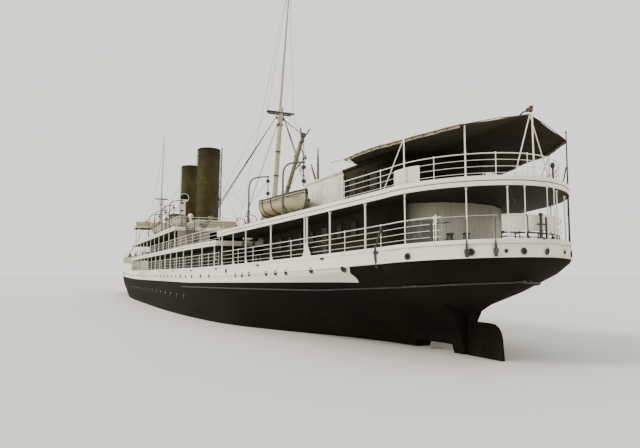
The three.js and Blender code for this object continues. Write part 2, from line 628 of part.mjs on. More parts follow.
/** A boat on chocks, its section carried from stem to stern under a taut, slightly crowned cover. */
function boat(middle, off, turn, floor) {
  const count = 8;
  const rings = Array.from({ length: count }, (_, i) => {
    const u = (2 * i) / (count - 1) - 1;
    const x = (BOAT.length / 2) * u * (1 - 0.02 * u * u);
    const w = Math.max(BOAT.half * (1 - Math.abs(u) ** 2.6), 0.09);
    const sheer = BOAT.depth + 0.3 * u * u;
    const keel = 0.12 * u ** 4;
    const crown = BOAT.crown * (w / BOAT.half);
    return [[w, sheer], [w * 0.93, 0.45 + keel], [w * 0.5, 0.1 + keel], [0, keel], [-w * 0.5, 0.1 + keel],
      [-w * 0.93, 0.45 + keel], [-w, sheer], [-w * 0.6, sheer + crown * 0.7], [0, sheer + crown],
      [w * 0.6, sheer + crown * 0.7]].map(([y, z]) => new THREE.Vector3(x, y, z));
  });
  const hullOf = loft(rings).scale(SCALE, SCALE, SCALE);
  const base = floor(middle) + BOAT.lift;
  const chocks = [-1.9, 1.9].map((x) => {
    const seat = Math.max(floor(middle + x - 0.16), floor(middle + x + 0.16)) + GAP - base;
    const chock = new THREE.BoxGeometry(0.18, 1.1, 0.1 - seat).translate(x, 0, (0.1 + seat) / 2);
    return chock.scale(SCALE, SCALE, SCALE);
  });
  const place = at(middle, off, base);
  return join(hullOf, ...chocks).rotateZ(turn).translate(place.x, place.y, place.z);
}

/** A davit: a round bar that stands at the deck's side and bends over the boat. */
function davit(d, y, floor, side) {
  const { height, radius, reach } = DAVIT;
  const base = Math.max(floor(d - 0.13), floor(d + 0.13)) + GAP;
  const points = [[0, 0], [0, height - 0.7], [0.05, height - 0.35], [0.3, height - 0.12],
    [0.75, height - 0.02], [reach, height + 0.06]].map(([r, z]) => at(d, y - side * r, base + z));
  const heel = rod(at(d, y, base), at(d, y, base + 0.5), radius * 1.5, 8);
  return join(pipe(points, radius, 6, 9), heel);
}

function deckBoats(side) {
  const { middles, off } = DECK_BOATS;
  const skid = block(middles[0] - 2.5, middles[1] + 2.5, side * off - 0.08, side * off + 0.08,
    boatFloor() + GAP, boatFloor() + 0.16);
  return join(skid, ...middles.map((d) => boat(d, side * off, 0, boatFloor)));
}

// Awning, its frame and the canvas on the rails

const awningEdge = (d) => AWNING.edge + (AWNING.peak - AWNING.edge) * clamp01(1 - d / AWNING.rise) ** 2;

function ridge(d) {
  const t = clamp01((d - AWNING.aft) / (AWNING.fore - AWNING.aft));
  return AWNING.peak + (AWNING.ridge - AWNING.peak) * t;
}

function awningFrame() {
  const pole = (d, y, top, floor = aftFloor) => post(d, y, 0.04, floor, () => top - 0.02);
  const places = [...pairs([1.15], 0.3), ...pairs([3.0], 0.18), ...pairs([AWNING.fore - 0.1], STANCHION.inset)];
  const poles = places.map(([d, y]) => pole(d, y, awningEdge(d)));
  const end = AWNING.fore + 0.06;
  const props = [pole(0.3, 0, ridge(0.3)), pole(end, 0, ridge(end), () => SMOKE_ROOM.top)];
  const spar = loft([0.14, AWNING.aft, AWNING.fore, AWNING.fore + 0.1].map((d) => {
    const top = ridge(d);
    return [at(d, -0.03, top - 0.12), at(d, 0.03, top - 0.12), at(d, 0.03, top), at(d, -0.03, top)];
  }));
  const wire = fence(edgePath(0, AWNING.fore + 0.06, STANCHION.inset), 0.025,
    (d) => awningEdge(d) - 0.05, awningEdge);
  const corner = deckHalf(AWNING.fore) - STANCHION.inset;
  const middle = at(end, 0, ridge(end) - 0.06);
  const brow = [corner, -corner].map((y) => rod(at(end, y, AWNING.edge - 0.03), middle, 0.025, 4));
  return join(wire, spar, ...brow, ...props, ...poles);
}

/** The awning's cloth: a crowned sheet, its middle on the ridge spar, its edges by the wire. */
function awning() {
  const half = (d) => deckHalf(d - AWNING.inset) - AWNING.inset;
  return loft([AWNING.aft, ...stations(AWNING.aft + 0.2, AWNING.fore - 0.1)].map((d) => {
    const [h, top, low] = [half(d), ridge(d) + GAP, awningEdge(d) + 0.02];
    const flat = 0.07;
    const under = [[-h, low], [-0.55 * h, low + (top - low) * 0.4], [-flat, top], [flat, top],
      [0.55 * h, low + (top - low) * 0.4], [h, low]];
    const over = under.map(([y, z]) => [y, z + AWNING.cloth]).reverse();
    return [...under, ...over].map(([y, z]) => at(d, y, z));
  }));
}

/** A strip of canvas laced to the outside of a rail, further out where the rail's square posts are turned. */
function canvas(d0, d1, side, floor, away, drop = 0) {
  const inset = RAIL.inset - away * RAIL.bar - GAP - CANVAS.half;
  return fence(edgePath(d0, d1, inset, side), CANVAS.half, (d) => floor(d) + CANVAS.low - drop,
    (d) => floor(d) + CANVAS.high);
}

// Rails

/** Sides of a deck from fore to aft and back, joined across the aft or the fore end. */
function loopPath(aft, fore, inset, across) {
  const along = stations(aft, fore);
  const port = along.map((d) => [d, deckHalf(d) - inset]);
  const starboard = along.map((d) => [d, -deckHalf(d) + inset]);
  return across === 'aft' ? [...port.reverse(), ...starboard] : [...starboard, ...port.reverse()];
}

const bridgePath = [[BRIDGE_DECK.aft + 0.1, 7.28], [BRIDGE_DECK.aft + 0.1, -7.28],
  [BRIDGE_DECK.fore - 0.1, -7.28], [BRIDGE_DECK.fore - 0.1, 7.28]];
const forecastleFloor = (d) => deckEdge(d) + FORECASTLE_RISE;

// Paint and other finishes: colour, roughness, metalness
const BLACK = [0x17171a, 0.55, 0];
const WHITE = [0xe6e2d6, 0.5, 0];
const CREAM = [0xd8cfae, 0.5, 0];
const TEAK = [0x8f7a5c, 0.75, 0];
const BUFF = [0x9b7c4a, 0.6, 0];
const SOOT = [0x3a3426, 0.6, 0];
const IRON = [0x3a3b3c, 0.5, 0.4];
const BRONZE = [0xa87f3e, 0.35, 0.9];
const CLOTH = [0xd9d5c8, 0.9, 0];
const SEABOOT = [0x5c2b22, 0.6, 0];

const ship = new THREE.Group();

function add(name, geometry, [color, roughness, metalness]) {
  const mesh = new THREE.Mesh(geometry, new THREE.MeshStandardMaterial({ color, roughness, metalness }));
  mesh.name = name;
  ship.add(mesh);
}

add('hull', hull(), BLACK);
add('main_deck', mainDeck(), TEAK);
add('forecastle', forecastle(), WHITE);
add('rudder', rudder(), SEABOOT);
add('screw', screw(), BRONZE);
add('aft_deck', aftDeck(), WHITE);
add('mid_deck', midDeck(), WHITE);
add('boat_deck', boatDeck(), WHITE);
add('bridge_deck', bridgeDeck(), WHITE);
add('aft_house', aftHouse(), WHITE);
add('smoke_room', smokeRoom(), WHITE);
add('mid_house', houseWithEntry(MID_HOUSE, mainFloor, () => MID_DECK.low - GAP), WHITE);
add('upper_house', houseWithEntry(UPPER_HOUSE, midFloor, () => BOAT_DECK.low - GAP), WHITE);
add('casing', casing(), WHITE);
add('bridge_house', houseWithEntry(BRIDGE_HOUSE, boatFloor, () => BRIDGE_DECK.low), WHITE);
add('wheelhouse', wheelhouse(), TEAK);
add('main_hatch', hatch(25.2, 29.0, 1.9, midFloor, 0.75), IRON);
add('fore_hatch', hatch(78, 85.5, 2.2, mainFloor, 0.85), IRON);
add('windlass', windlass(), IRON);
add('mainmast', mast(MAINMAST, midFloor, { d: 40.4, z: boatFloor() }), BUFF);
add('foremast', mast(FOREMAST, forecastleFloor, { d: 116, z: forecastleFloor(116) }), BUFF);

const masts = { main: [MAINMAST, midFloor()], fore: [FOREMAST, forecastleFloor(FOREMAST.foot)] };
for (const [name, [plan, floor]] of Object.entries(masts)) {
  add(`${name}_swivel`, swivel(plan, floor), IRON);
  add(`${name}_boom`, boom(plan, floor, BOOM.lifts[name]), BUFF);
}
FUNNEL.places.forEach((d, i) => add(`funnel_${['fore', 'aft'][i]}`, funnel(d), SOOT));

for (const [name, side] of [['port', 1], ['starboard', -1]]) {
  add(`aft_door_${name}`, door(AFT_DOOR, AFT_HOUSE.half, mainFloor(AFT_DOOR), side), TEAK);
  add(`bridge_door_${name}`, door(BRIDGE_DOOR, WHEELHOUSE.half - WALL / 2, bridgeFloor(), side), TEAK);
  add(`side_rail_${name}`, rail(edgePath(24.1, 72.8, RAIL.inset, side), mainFloor), WHITE);
  add(`aft_boat_${name}`, boat(AFT_BOAT.middle, side * AFT_BOAT.off, side * AFT_BOAT.turn, aftFloor), CREAM);
  add(`deck_boats_${name}`, deckBoats(side), CREAM);
  const stands = [['aft', AFT_BOAT.middle, aftFloor], ...DECK_BOATS.middles.map((d, i) => (
    [`mid${i + 1}`, d, boatFloor]))];
  for (const [boatName, middle, floor] of stands) {
    for (const [end, d] of [['a', middle - DAVIT.spread], ['f', middle + DAVIT.spread]]) {
      const y = side * (deckHalf(d) - DAVIT.inset);
      add(`davit_${boatName}_${end}_${name}`, davit(d, y, floor, side), WHITE);
    }
  }
}

add('stern_rail', rail(edgePath(0, 23.4, RAIL.inset), mainFloor), WHITE);
add('aft_deck_rail', rail(edgePath(0, 23.2, RAIL.inset), aftFloor), WHITE);
add('mid_deck_rail', rail(loopPath(24.1, MID_DECK.fore - RAIL.inset, RAIL.inset, 'fore'), midFloor), WHITE);
add('boat_deck_rail', rail(loopPath(BOAT_DECK.aft + RAIL.inset, 68.6, RAIL.inset, 'aft'), boatFloor), WHITE);
add('bridge_rail', rail(bridgePath, bridgeFloor, { endless: true, spacing: 3.6 }), WHITE);
add('forecastle_rail', rail(loopPath(BREAK + 0.3, 116.6, RAIL.inset, 'fore'), forecastleFloor), WHITE);
add('awning_frame', awningFrame(), WHITE);
add('awning', awning(), CLOTH);
add('stern_canvas', canvas(0, STATIONS[CANVAS.stern], 0, mainFloor, 1.05), CLOTH);
add('quarter_canvas', canvas(...CANVAS.quarter, 1, aftFloor, 1.05, 0.27), CLOTH);

export default ship;
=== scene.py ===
"""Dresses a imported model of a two-funnelled passenger steamer, 1:10. Named lengths: ship metres."""
import json
import math

import bpy
import numpy as np
from mathutils import Matrix

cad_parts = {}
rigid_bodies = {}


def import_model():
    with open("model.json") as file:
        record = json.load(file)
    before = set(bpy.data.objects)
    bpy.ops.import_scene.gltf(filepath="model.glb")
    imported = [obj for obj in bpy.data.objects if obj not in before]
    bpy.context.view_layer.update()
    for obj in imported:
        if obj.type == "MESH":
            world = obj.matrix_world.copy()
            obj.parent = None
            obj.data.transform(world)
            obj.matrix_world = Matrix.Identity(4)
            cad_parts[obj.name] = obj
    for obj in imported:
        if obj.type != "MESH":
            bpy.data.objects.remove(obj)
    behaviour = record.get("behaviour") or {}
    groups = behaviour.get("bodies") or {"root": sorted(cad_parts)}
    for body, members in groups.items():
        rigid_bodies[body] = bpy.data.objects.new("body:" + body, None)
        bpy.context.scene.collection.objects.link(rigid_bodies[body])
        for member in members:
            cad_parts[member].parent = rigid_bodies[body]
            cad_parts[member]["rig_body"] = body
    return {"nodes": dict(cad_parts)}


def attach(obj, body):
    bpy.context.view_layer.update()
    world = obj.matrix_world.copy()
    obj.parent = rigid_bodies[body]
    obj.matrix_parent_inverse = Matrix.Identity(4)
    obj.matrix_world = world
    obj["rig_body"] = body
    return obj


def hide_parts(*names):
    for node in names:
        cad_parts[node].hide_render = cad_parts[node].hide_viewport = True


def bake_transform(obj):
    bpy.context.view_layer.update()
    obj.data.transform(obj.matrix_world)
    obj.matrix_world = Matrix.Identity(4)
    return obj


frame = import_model()

bl_info = {
    "name": "Steamship dressing",
    "version": (1, 0, 0),
    "blender": (4, 5, 0),
    "location": "View3D > Sidebar > Steamship",
    "description": "Builds the fittings, canvas and paint of a 1:10 passenger steamship",
    "category": "Object",
}

SCALE = 0.1  # model metres for one metre of the ship
LENGTH, MIDDLE = 118.0, 59.0
UP, ABEAM = np.array([0, 0, 1.0]), math.pi / 2
SHOULDER, SHOULDER_HALF = 4.34, 4.6  # where the rounded stern ends, and its half breadth there
HALF, RUN, ENTRANCE = 7.4, 32.0, 38.0  # half breadth amidships, and the lengths over which the sides reach it
POST, KEEL = 4.6, -4.4
AFT_RAIL, SIDE_RAIL, RAIL_HEIGHT = 0.36, 0.36, 1.07
AFT_DECK_END = 23.5
MID_LOW, BOAT_LOW, PLATE, DECKING = 5.8, 7.95, 0.35, 0.08
BRIDGE_FLOOR, CASING_FOOT, CASING_TOP = 10.8, 8.303, 10.303
AFT_HOUSE = (4.1, 22.4, 3.7)
MID_HOUSE = (26.5, 71.4, 5.2)
UPPER_HOUSE = (41.5, 71.4, 5.0)
CASING = (50.5, 68.6, 2.5, 10.3)
FUNNELS = {"funnel_fore": 66.3, "funnel_aft": 55.6}
FUNNEL_RADIUS, FUNNEL_TOP, FUNNEL_RAKE = 1.43, 20.2, 0.05
MASTS = {"main": (31.1, 0.2, 18.1, (1.2, 2.7)), "fore": (94.6, 0.14, 18.4, (1.6, 3.2))}
BOOM_LIFT = {"main": 50.0, "fore": 35.0}
PEAK, RIDGE_END = (0.45, 10.25), (7.9, 9.9)  # place and height of the awning's ridge at its ends
COWLS = ((57.5, 1.7, 1.2, 0.16), (60.3, 2.2, 3.9, 0.28), (63.2, 1.9, 1.45, 0.2))  # place, off, height, neck
SIDES = {"port": 1, "starboard": -1}

turns = (np.arange(7) + 0.9) / 6.9
STATIONS = np.concatenate([SHOULDER * (1 - np.cos(np.pi / 2 * turns ** 1.2)),
                           [4.58, 4.6, 6, 8, 10.5, 13, 16, 19, 22, 25, 28, 32, 36, 41, 46, 53, 60, 67, 73, 78,
                            83, 88, 92.5, 96, 100, 104, 108, 111, 113.5, 115.5, 117, 118]])


# The ship's lines, worked out for whole arrays of places

def rows(d, y, z):
    """Rows of ship metres forward of the stern, to port and above the water; single numbers are repeated."""
    return np.stack(np.broadcast_arrays(*(np.asarray(v, float) for v in (d, y, z))), -1)


def lifted(path, z):
    """Rows of ship metres over the places of a plan, at heights."""
    return rows(path[..., 0], path[..., 1], z)


def place(points):
    """Model points from rows of ship metres."""
    return (np.asarray(points, float) - [MIDDLE, 0, 0]) * SCALE


def at(d, y, z):
    """Model points from ship metres forward of the stern, to port and above the water."""
    return place(rows(d, y, z))


def set_down(spot, turn, points):
    """Points in a thing's own axes, turned about the upright by an angle and set down at a spot."""
    x, y, z = np.moveaxis(np.asarray(points, float), -1, 0)
    c, s = math.cos(turn), math.sin(turn)
    return rows(spot[0] + x * c - y * s, spot[1] + x * s + y * c, spot[2] + z)


def rectangle(aft, fore, half):
    """The four corners of a plan, as wide to port as to starboard."""
    return np.array([[aft, half], [aft, -half], [fore, -half], [fore, half]])


def deck_half(d):
    """Half breadth of the decks: a superellipse aft, a parabola over the run, a power curve to the stem."""
    d = np.asarray(d, float)
    stern = SHOULDER_HALF * (1 - np.clip(1 - d / SHOULDER, 0, 1) ** 1.87) ** (1 / 1.87)
    run = HALF - (HALF - SHOULDER_HALF) * (1 - np.clip((d - SHOULDER) / RUN, 0, 1)) ** 2
    bow = HALF * (1 - (1 - np.clip((LENGTH - d) / ENTRANCE, 0, 1)) ** 2.2)
    return np.where(d < SHOULDER, stern, np.where(d < SHOULDER + RUN, run, bow))


def sheer(d):
    """Height of the deck edge: level amidships, a 2.2 power rise aft and a square rise forward."""
    d = np.asarray(d, float)
    return 4.12 + 0.885 * np.clip((36 - d) / 36, 0, 1) ** 2.2 + 2 * np.clip((d - 60) / 58, 0, 1) ** 2


def deck_edge(d):
    """The sheer, made straight between the hull's stations, as the solids have it."""
    return np.interp(d, STATIONS, sheer(STATIONS))


def main_floor(d):
    return deck_edge(d) + DECKING


def aft_floor(d):
    return deck_edge(d) + 2.2 + PLATE


def mid_floor(d):
    return np.full_like(np.asarray(d, float), MID_LOW + PLATE)


def boat_floor(d):
    return np.full_like(np.asarray(d, float), BOAT_LOW + PLATE)


def bridge_floor(d):
    return np.full_like(np.asarray(d, float), BRIDGE_FLOOR)


def forecastle_floor(d):
    return deck_edge(d) + 2.1


def smooth_step(t):
    """0 up to 0, 1 from 1, and 3t^2 - 2t^3 between."""
    t = np.clip(t, 0, 1)
    return t * t * (3 - 2 * t)


def hull_bottom(d):
    """Lowest line of the hull: a rising counter aft of the post, a level keel, a curved forefoot."""
    d = np.asarray(d, float)
    counter = 1.96 + (deck_edge(0) - 2.61) * np.clip(1 - d / POST, 0, 1) ** 1.6
    return np.where(d < POST, counter, KEEL + 3 * np.clip((d - 112) / 6, 0, 1) ** 2.5)


def hull_half(d, z):
    """Half breadth of the hull at a height: a bowl at the counter, else fine ends and a boxy middle."""
    d, z = np.broadcast_arrays(np.asarray(d, float), np.asarray(z, float))
    low = hull_bottom(d)
    knuckle = deck_edge(d) - 0.6
    full = np.maximum(deck_half(d), 0.1)
    t = np.clip((z - low) / (knuckle - low), 0, 1)
    bowl = np.maximum(0.14, full * np.sin(t * ABEAM) ** 0.9)
    aft = np.clip((d - POST) / 27.4, 0, 1)
    fore = np.clip((d - LENGTH) / ENTRANCE + 1, 0, 1)
    power = 0.8 + 7.2 * (1 - aft) ** 3 + 0.7 * fore
    fine = 1 - (1 - t ** power) ** 2
    boxy = 0.74 + 0.26 * np.sqrt(1 - (1 - np.clip((z - KEEL) / 2.2, 0, 1)) ** 2)
    middle = smooth_step((d - 18) / 28) * (1 - smooth_step((d - 64) / 32))
    side = np.minimum(full, 0.14 + (full - 0.14) * (fine + (boxy - fine) * middle))
    return np.where(d < POST, bowl, side)


def inset_place(d, inset):
    """Places on the port deck edge moved inwards, square to the edge."""
    d = np.asarray(d, float)
    rise = (deck_half(d + 0.01) - deck_half(d - 0.01)) / 0.02
    length = np.hypot(1, rise)
    return np.stack([d + inset * rise / length, np.maximum(deck_half(d) - inset / length, 0)], -1)


def stern_path(fore, inset, steps=40):
    """Places round the stern from port to starboard, close together where the edge turns."""
    bend = SHOULDER * (1 - np.cos(np.linspace(0.12, np.pi / 2, steps) ** 1.15 * (ABEAM) ** -0.15))
    along = np.concatenate([bend[bend < fore - 0.02], np.arange(5.2, fore, 0.9), [fore]])
    port = inset_place(along, inset)[::-1]
    return np.concatenate([port, port[::-1] * [1, -1]])


def loop_path(aft, fore, inset, across):
    """Places along both sides of a deck, joined across its aft or its fore end."""
    d = np.unique(np.concatenate([[aft, fore], np.arange(aft, fore, 1.5)]))
    port = np.stack([d, deck_half(d) - inset], -1)
    starboard = port * [1, -1]
    parts = [port[::-1], starboard] if across == "aft" else [starboard, port[::-1]]
    return np.concatenate(parts)



def resampled(path, spacing=None, count=None, closed=False):
    """Places at even spacing along a path, ends included, by length run along it."""
    path = np.concatenate([path, path[:1]]) if closed else path
    run = np.concatenate([[0], np.cumsum(np.linalg.norm(np.diff(path, axis=0), axis=1))])
    count = count or max(1, round(run[-1] / spacing))
    where = np.linspace(0, run[-1], count + 1)
    where = where[:-1] if closed else where
    return np.stack([np.interp(where, run, path[:, i]) for i in range(path.shape[1])], -1)


def height_at(z, d):
    """A height that is a number or a function of the place forward."""
    return z(d) if callable(z) else z


# Shapes

def unit(v):
    """Directions of length one; a direction of no length stays so."""
    return v / np.maximum(np.linalg.norm(v, axis=-1, keepdims=True), 1e-12)


def grid(nu, nv, wrap_u=False, wrap_v=False):
    """Four-cornered faces over nu by nv points, which face along du x dv."""
    i, j = np.meshgrid(np.arange(nu if wrap_u else nu - 1), np.arange(nv if wrap_v else nv - 1),
                       indexing="ij")
    i, j = i.ravel(), j.ravel()
    i1, j1 = (i + 1) % nu, (j + 1) % nv
    return np.stack([i * nv + j, i1 * nv + j, i1 * nv + j1, i * nv + j1], -1)


def circle(count, half_step=False):
    """Cosines and sines of even steps round a circle, as columns."""
    angle = np.arange(count) * 2 * np.pi / count + (np.pi / count if half_step else 0)
    return np.cos(angle)[:, None], np.sin(angle)[:, None]


def square_to(axes):
    """Two directions square to each axis and to one another."""
    across = unit(np.cross(axes, np.where(np.abs(axes[:, 2:]) > 0.9, [[1.0, 0, 0]], [UP])))
    return across[:, None], np.cross(axes, across)[:, None]


class Shape:
    """Points and faces gathered as arrays and put into one mesh at once. Faces, surfaces and lofts take model
    points; pipes, bars, boxes, balls, lathed shapes and rings take ship metres. A paint is the name of a
    finish; without one a part takes the first finish of its mesh."""

    def __init__(self):
        self.points, self.loops, self.totals, self.paints, self.uvs, self.count = [], [], [], [], [], 0

    def faces(self, points, *groups, paint=None, uv=None):
        """Adds points with one or more arrays of faces, each array holding faces of one number of corners."""
        points = np.asarray(points, float).reshape(-1, 3)
        for group in groups:
            group = np.asarray(group)
            self.loops.append(group.ravel() + self.count)
            self.totals.append(np.full(len(group), group.shape[1]))
            self.paints.append((paint, len(group)))
        self.points.append(points)
        self.uvs.append(np.zeros((len(points), 2)) if uv is None else np.asarray(uv, float).reshape(-1, 2))
        self.count += len(points)
        return self

    def surface(self, points, wrap_u=False, wrap_v=False, paint=None, uv=None):
        """A grid of points joined by four-cornered faces that face along du x dv."""
        return self.faces(points, grid(*points.shape[:2], wrap_u, wrap_v), paint=paint, uv=uv)

    def loft(self, rings, paint=None):
        """Rings of points, turning left round the way they advance, with a fan over each end."""
        n, m = rings.shape[:2]
        j = np.arange(m)
        k = (j + 1) % m
        first = rows(n * m, k, j)
        last = rows(n * m + 1, (n - 1) * m + j, (n - 1) * m + k)
        points = np.concatenate([rings.reshape(-1, 3), rings[[0, -1]].mean(1)])
        return self.faces(points, grid(n, m, wrap_v=True)[:, [0, 3, 2, 1]], np.concatenate([first, last]),
                          paint=paint)

    def pipe(self, path, radius, sides=8, paint=None, closed=False):
        """A circle of given radius carried along a path, held square to it, with closed ends."""
        path, radius = place(path), np.asarray(radius, float) * SCALE
        if closed:
            along = unit(np.roll(path, -1, 0) - np.roll(path, 1, 0))
        else:
            along = unit(np.gradient(path, axis=0))
        axis = np.eye(3)[np.argmin(np.abs(along).max(0))]
        across = unit(np.cross(along, axis))
        beside = np.cross(along, across)
        cos, sin = circle(sides, True)
        reach = np.broadcast_to(radius, len(path))[:, None, None]
        ring = across[:, None] * cos + beside[:, None] * sin
        rings = path[:, None] + reach * ring
        if closed:
            return self.surface(np.swapaxes(rings, 0, 1), True, True, paint=paint)
        return self.loft(rings, paint=paint)

    def bars(self, a, b, radius, sides=6, paint=None, end=None):
        """Many straight round bars at once, from the points a to the points b, with flat ends."""
        a, b = np.broadcast_arrays(np.atleast_2d(place(a)), np.atleast_2d(place(b)))
        across, beside = square_to(unit(b - a))
        cos, sin = circle(sides, True)
        ring = across * cos + beside * sin
        radii = (radius, radius if end is None else end)
        start, finish = (np.broadcast_to(np.asarray(r, float) * SCALE, len(a))[:, None, None] for r in radii)
        points = np.stack([a[:, None] + ring * start, b[:, None] + ring * finish], 1)
        base = np.arange(len(a))[:, None] * 2 * sides
        j = np.arange(sides)
        k = (j + 1) % sides
        quads = np.stack([base + j, base + k, base + sides + k, base + sides + j], -1).reshape(-1, 4)
        caps = np.concatenate([base + j[::-1], base + sides + j])
        return self.faces(points, quads, caps, paint=paint)

    def boxes(self, middle, half, turn=None, paint=None):
        """Many blocks at once by their middles and half sizes, turned by angles about the upright."""
        middle = place(middle).reshape(-1, 3)
        half = np.broadcast_to(np.asarray(half, float) * SCALE, middle.shape)
        signs = np.array([[x, y, z] for z in (-1, 1) for y in (-1, 1) for x in (-1, 1)], float)
        corners = signs * half[:, None]
        if turn is not None:
            c, s = np.cos(turn), np.sin(turn)
            c, s = np.broadcast_to(c, len(middle))[:, None], np.broadcast_to(s, len(middle))[:, None]
            x, y = corners[..., 0].copy(), corners[..., 1].copy()
            corners[..., 0], corners[..., 1] = x * c - y * s, x * s + y * c
        quads = np.array([[0, 2, 3, 1], [4, 5, 7, 6], [0, 1, 5, 4], [2, 6, 7, 3], [0, 4, 6, 2], [1, 3, 7, 5]])
        base = np.arange(len(middle))[:, None, None] * 8
        return self.faces(middle[:, None] + corners, (base + quads).reshape(-1, 4), paint=paint)

    def balls(self, middles, radius, steps=6, paint=None, stretch=(1, 1, 1)):
        """Small balls: rings of a half turn by a whole turn."""
        rise = np.linspace(-np.pi / 2, np.pi / 2, steps + 1)
        angle = np.arange(2 * steps) * np.pi / steps
        ring = rows(np.cos(rise)[:, None] * np.cos(angle), np.cos(rise)[:, None] * np.sin(angle),
                    np.broadcast_to(np.sin(rise)[:, None], (steps + 1, 2 * steps))) * stretch
        for middle in place(middles).reshape(-1, 3):
            self.loft(middle + radius * SCALE * ring, paint=paint)

    def lathe(self, base, profile, sides=16, paint=None, axis=UP):
        """A profile of radius and height turned about an axis that starts at a point, closed at both ends."""
        axis = unit(np.asarray(axis, float))
        side = unit(np.cross(axis, [0.0, 1.0, 0.0] if abs(axis[1]) < 0.9 else [1.0, 0, 0]))
        other = np.cross(axis, side)
        cos, sin = circle(sides)
        profile = np.asarray(profile, float) * SCALE
        ring = side * cos + other * sin
        rings = place(base) + profile[:, 0, None, None] * ring + profile[:, 1, None, None] * axis
        return self.loft(rings, paint=paint)

    def rings(self, middles, axes, radius, thick, around=18, sides=6, paint=None):
        """Many round rims at once: a small circle carried round a large one about an axis."""
        middles, axes = np.broadcast_arrays(np.atleast_2d(place(middles)), unit(np.asarray(axes, float)))
        across, beside = square_to(axes)
        (cos, sin), (out, up) = circle(around), circle(sides)
        radial = (across * cos + beside * sin)[:, :, None]
        reach = np.broadcast_to(np.asarray(radius, float) * SCALE, len(middles))[:, None, None, None]
        thick = thick * SCALE
        points = middles[:, None, None] + radial * (reach + thick * out) + axes[:, None, None] * thick * up
        quads = grid(around, sides, True, True)
        base = np.arange(len(middles))[:, None, None] * around * sides
        return self.faces(points, (base + quads).reshape(-1, 4), paint=paint)

    def rods(self, ends, radius, sides=8, paint=None, end=None):
        """Straight round bars from pairs of end points."""
        ends = np.asarray(ends, float).reshape(-1, 2, 3)
        return self.bars(ends[:, 0], ends[:, 1], radius, sides, paint, end)

    def make(self, name, kinds, body="ship", slot=None, shaded=40.0, replaces=None):
        """Puts everything into one object; edges sharper than an angle in degrees stay crisp."""
        mesh = bpy.data.meshes.new(name)
        points = np.concatenate(self.points)
        loops = np.concatenate(self.loops).astype(np.int32)
        totals = np.concatenate(self.totals).astype(np.int32)
        mesh.vertices.add(len(points))
        mesh.vertices.foreach_set("co", points.astype(np.float32).ravel())
        mesh.loops.add(len(loops))
        mesh.loops.foreach_set("vertex_index", loops)
        mesh.polygons.add(len(totals))
        mesh.polygons.foreach_set("loop_start",
                                  np.concatenate([[0], np.cumsum(totals)[:-1]]).astype(np.int32))
        mesh.polygons.foreach_set("loop_total", totals)
        kinds = kinds.split()
        for kind in kinds:
            mesh.materials.append(finish_of(kind))
        index = np.repeat([kinds.index(paint or kinds[0]) for paint, _ in self.paints],
                          [n for _, n in self.paints])
        mesh.polygons.foreach_set("material_index", index.astype(np.int32))
        mesh.update(calc_edges=True)
        if any(np.any(uv) for uv in self.uvs):
            layer = mesh.uv_layers.new(name="cloth")
            layer.data.foreach_set("uv", np.concatenate(self.uvs)[loops].astype(np.float32).ravel())
        mesh.polygons.foreach_set("use_smooth", np.ones(len(totals), bool))
        mesh.set_sharp_from_angle(angle=math.radians(shaded))
        mesh.validate()
        piece = bpy.data.objects.new(name, mesh)
        bpy.context.scene.collection.objects.link(piece)
        if body:
            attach(piece, body)
        if replaces:
            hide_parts(replaces)
        return piece


# Finishes

def arithmetic(operation):
    """The two methods for an operation, with the value before its sign and after it."""
    def before(self, other):
        return self.math(operation, self, other)

    def after(self, other):
        return self.math(operation, other, self)

    return before, after


class Value:
    """A number that varies over a surface: wraps a node's socket so that sums can be written as sums."""

    def __init__(self, finish, socket):
        self.finish, self.socket = finish, socket

    def math(self, operation, *others):
        values = [v.socket if isinstance(v, Value) else v for v in others]
        return Value(self.finish, self.finish.node("ShaderNodeMath", {"operation": operation},
                                                   *values).outputs[0])

    __add__, __radd__ = arithmetic("ADD")
    __sub__, __rsub__ = arithmetic("SUBTRACT")
    __mul__, __rmul__ = arithmetic("MULTIPLY")
    __truediv__, __rtruediv__ = arithmetic("DIVIDE")
    __pow__, __rpow__ = arithmetic("POWER")

    def fraction(self):
        return self.math("FRACT", self)

    def larger(self, other):
        return self.math("MAXIMUM", self, other)

    def smaller(self, other):
        return self.math("MINIMUM", self, other)

    def ramp(self, low, high):
        """0 below one value, 1 above the other, smooth between."""
        node = self.finish.node("ShaderNodeMapRange", {"interpolation_type": "SMOOTHSTEP"}, self.socket, low,
                                high)
        return Value(self.finish, node.outputs[0])

    def clipped(self):
        """The value kept between 0 and 1."""
        node = self.finish.node("ShaderNodeMapRange", {"clamp": True}, self.socket, 0.0, 1.0)
        return Value(self.finish, node.outputs[0])


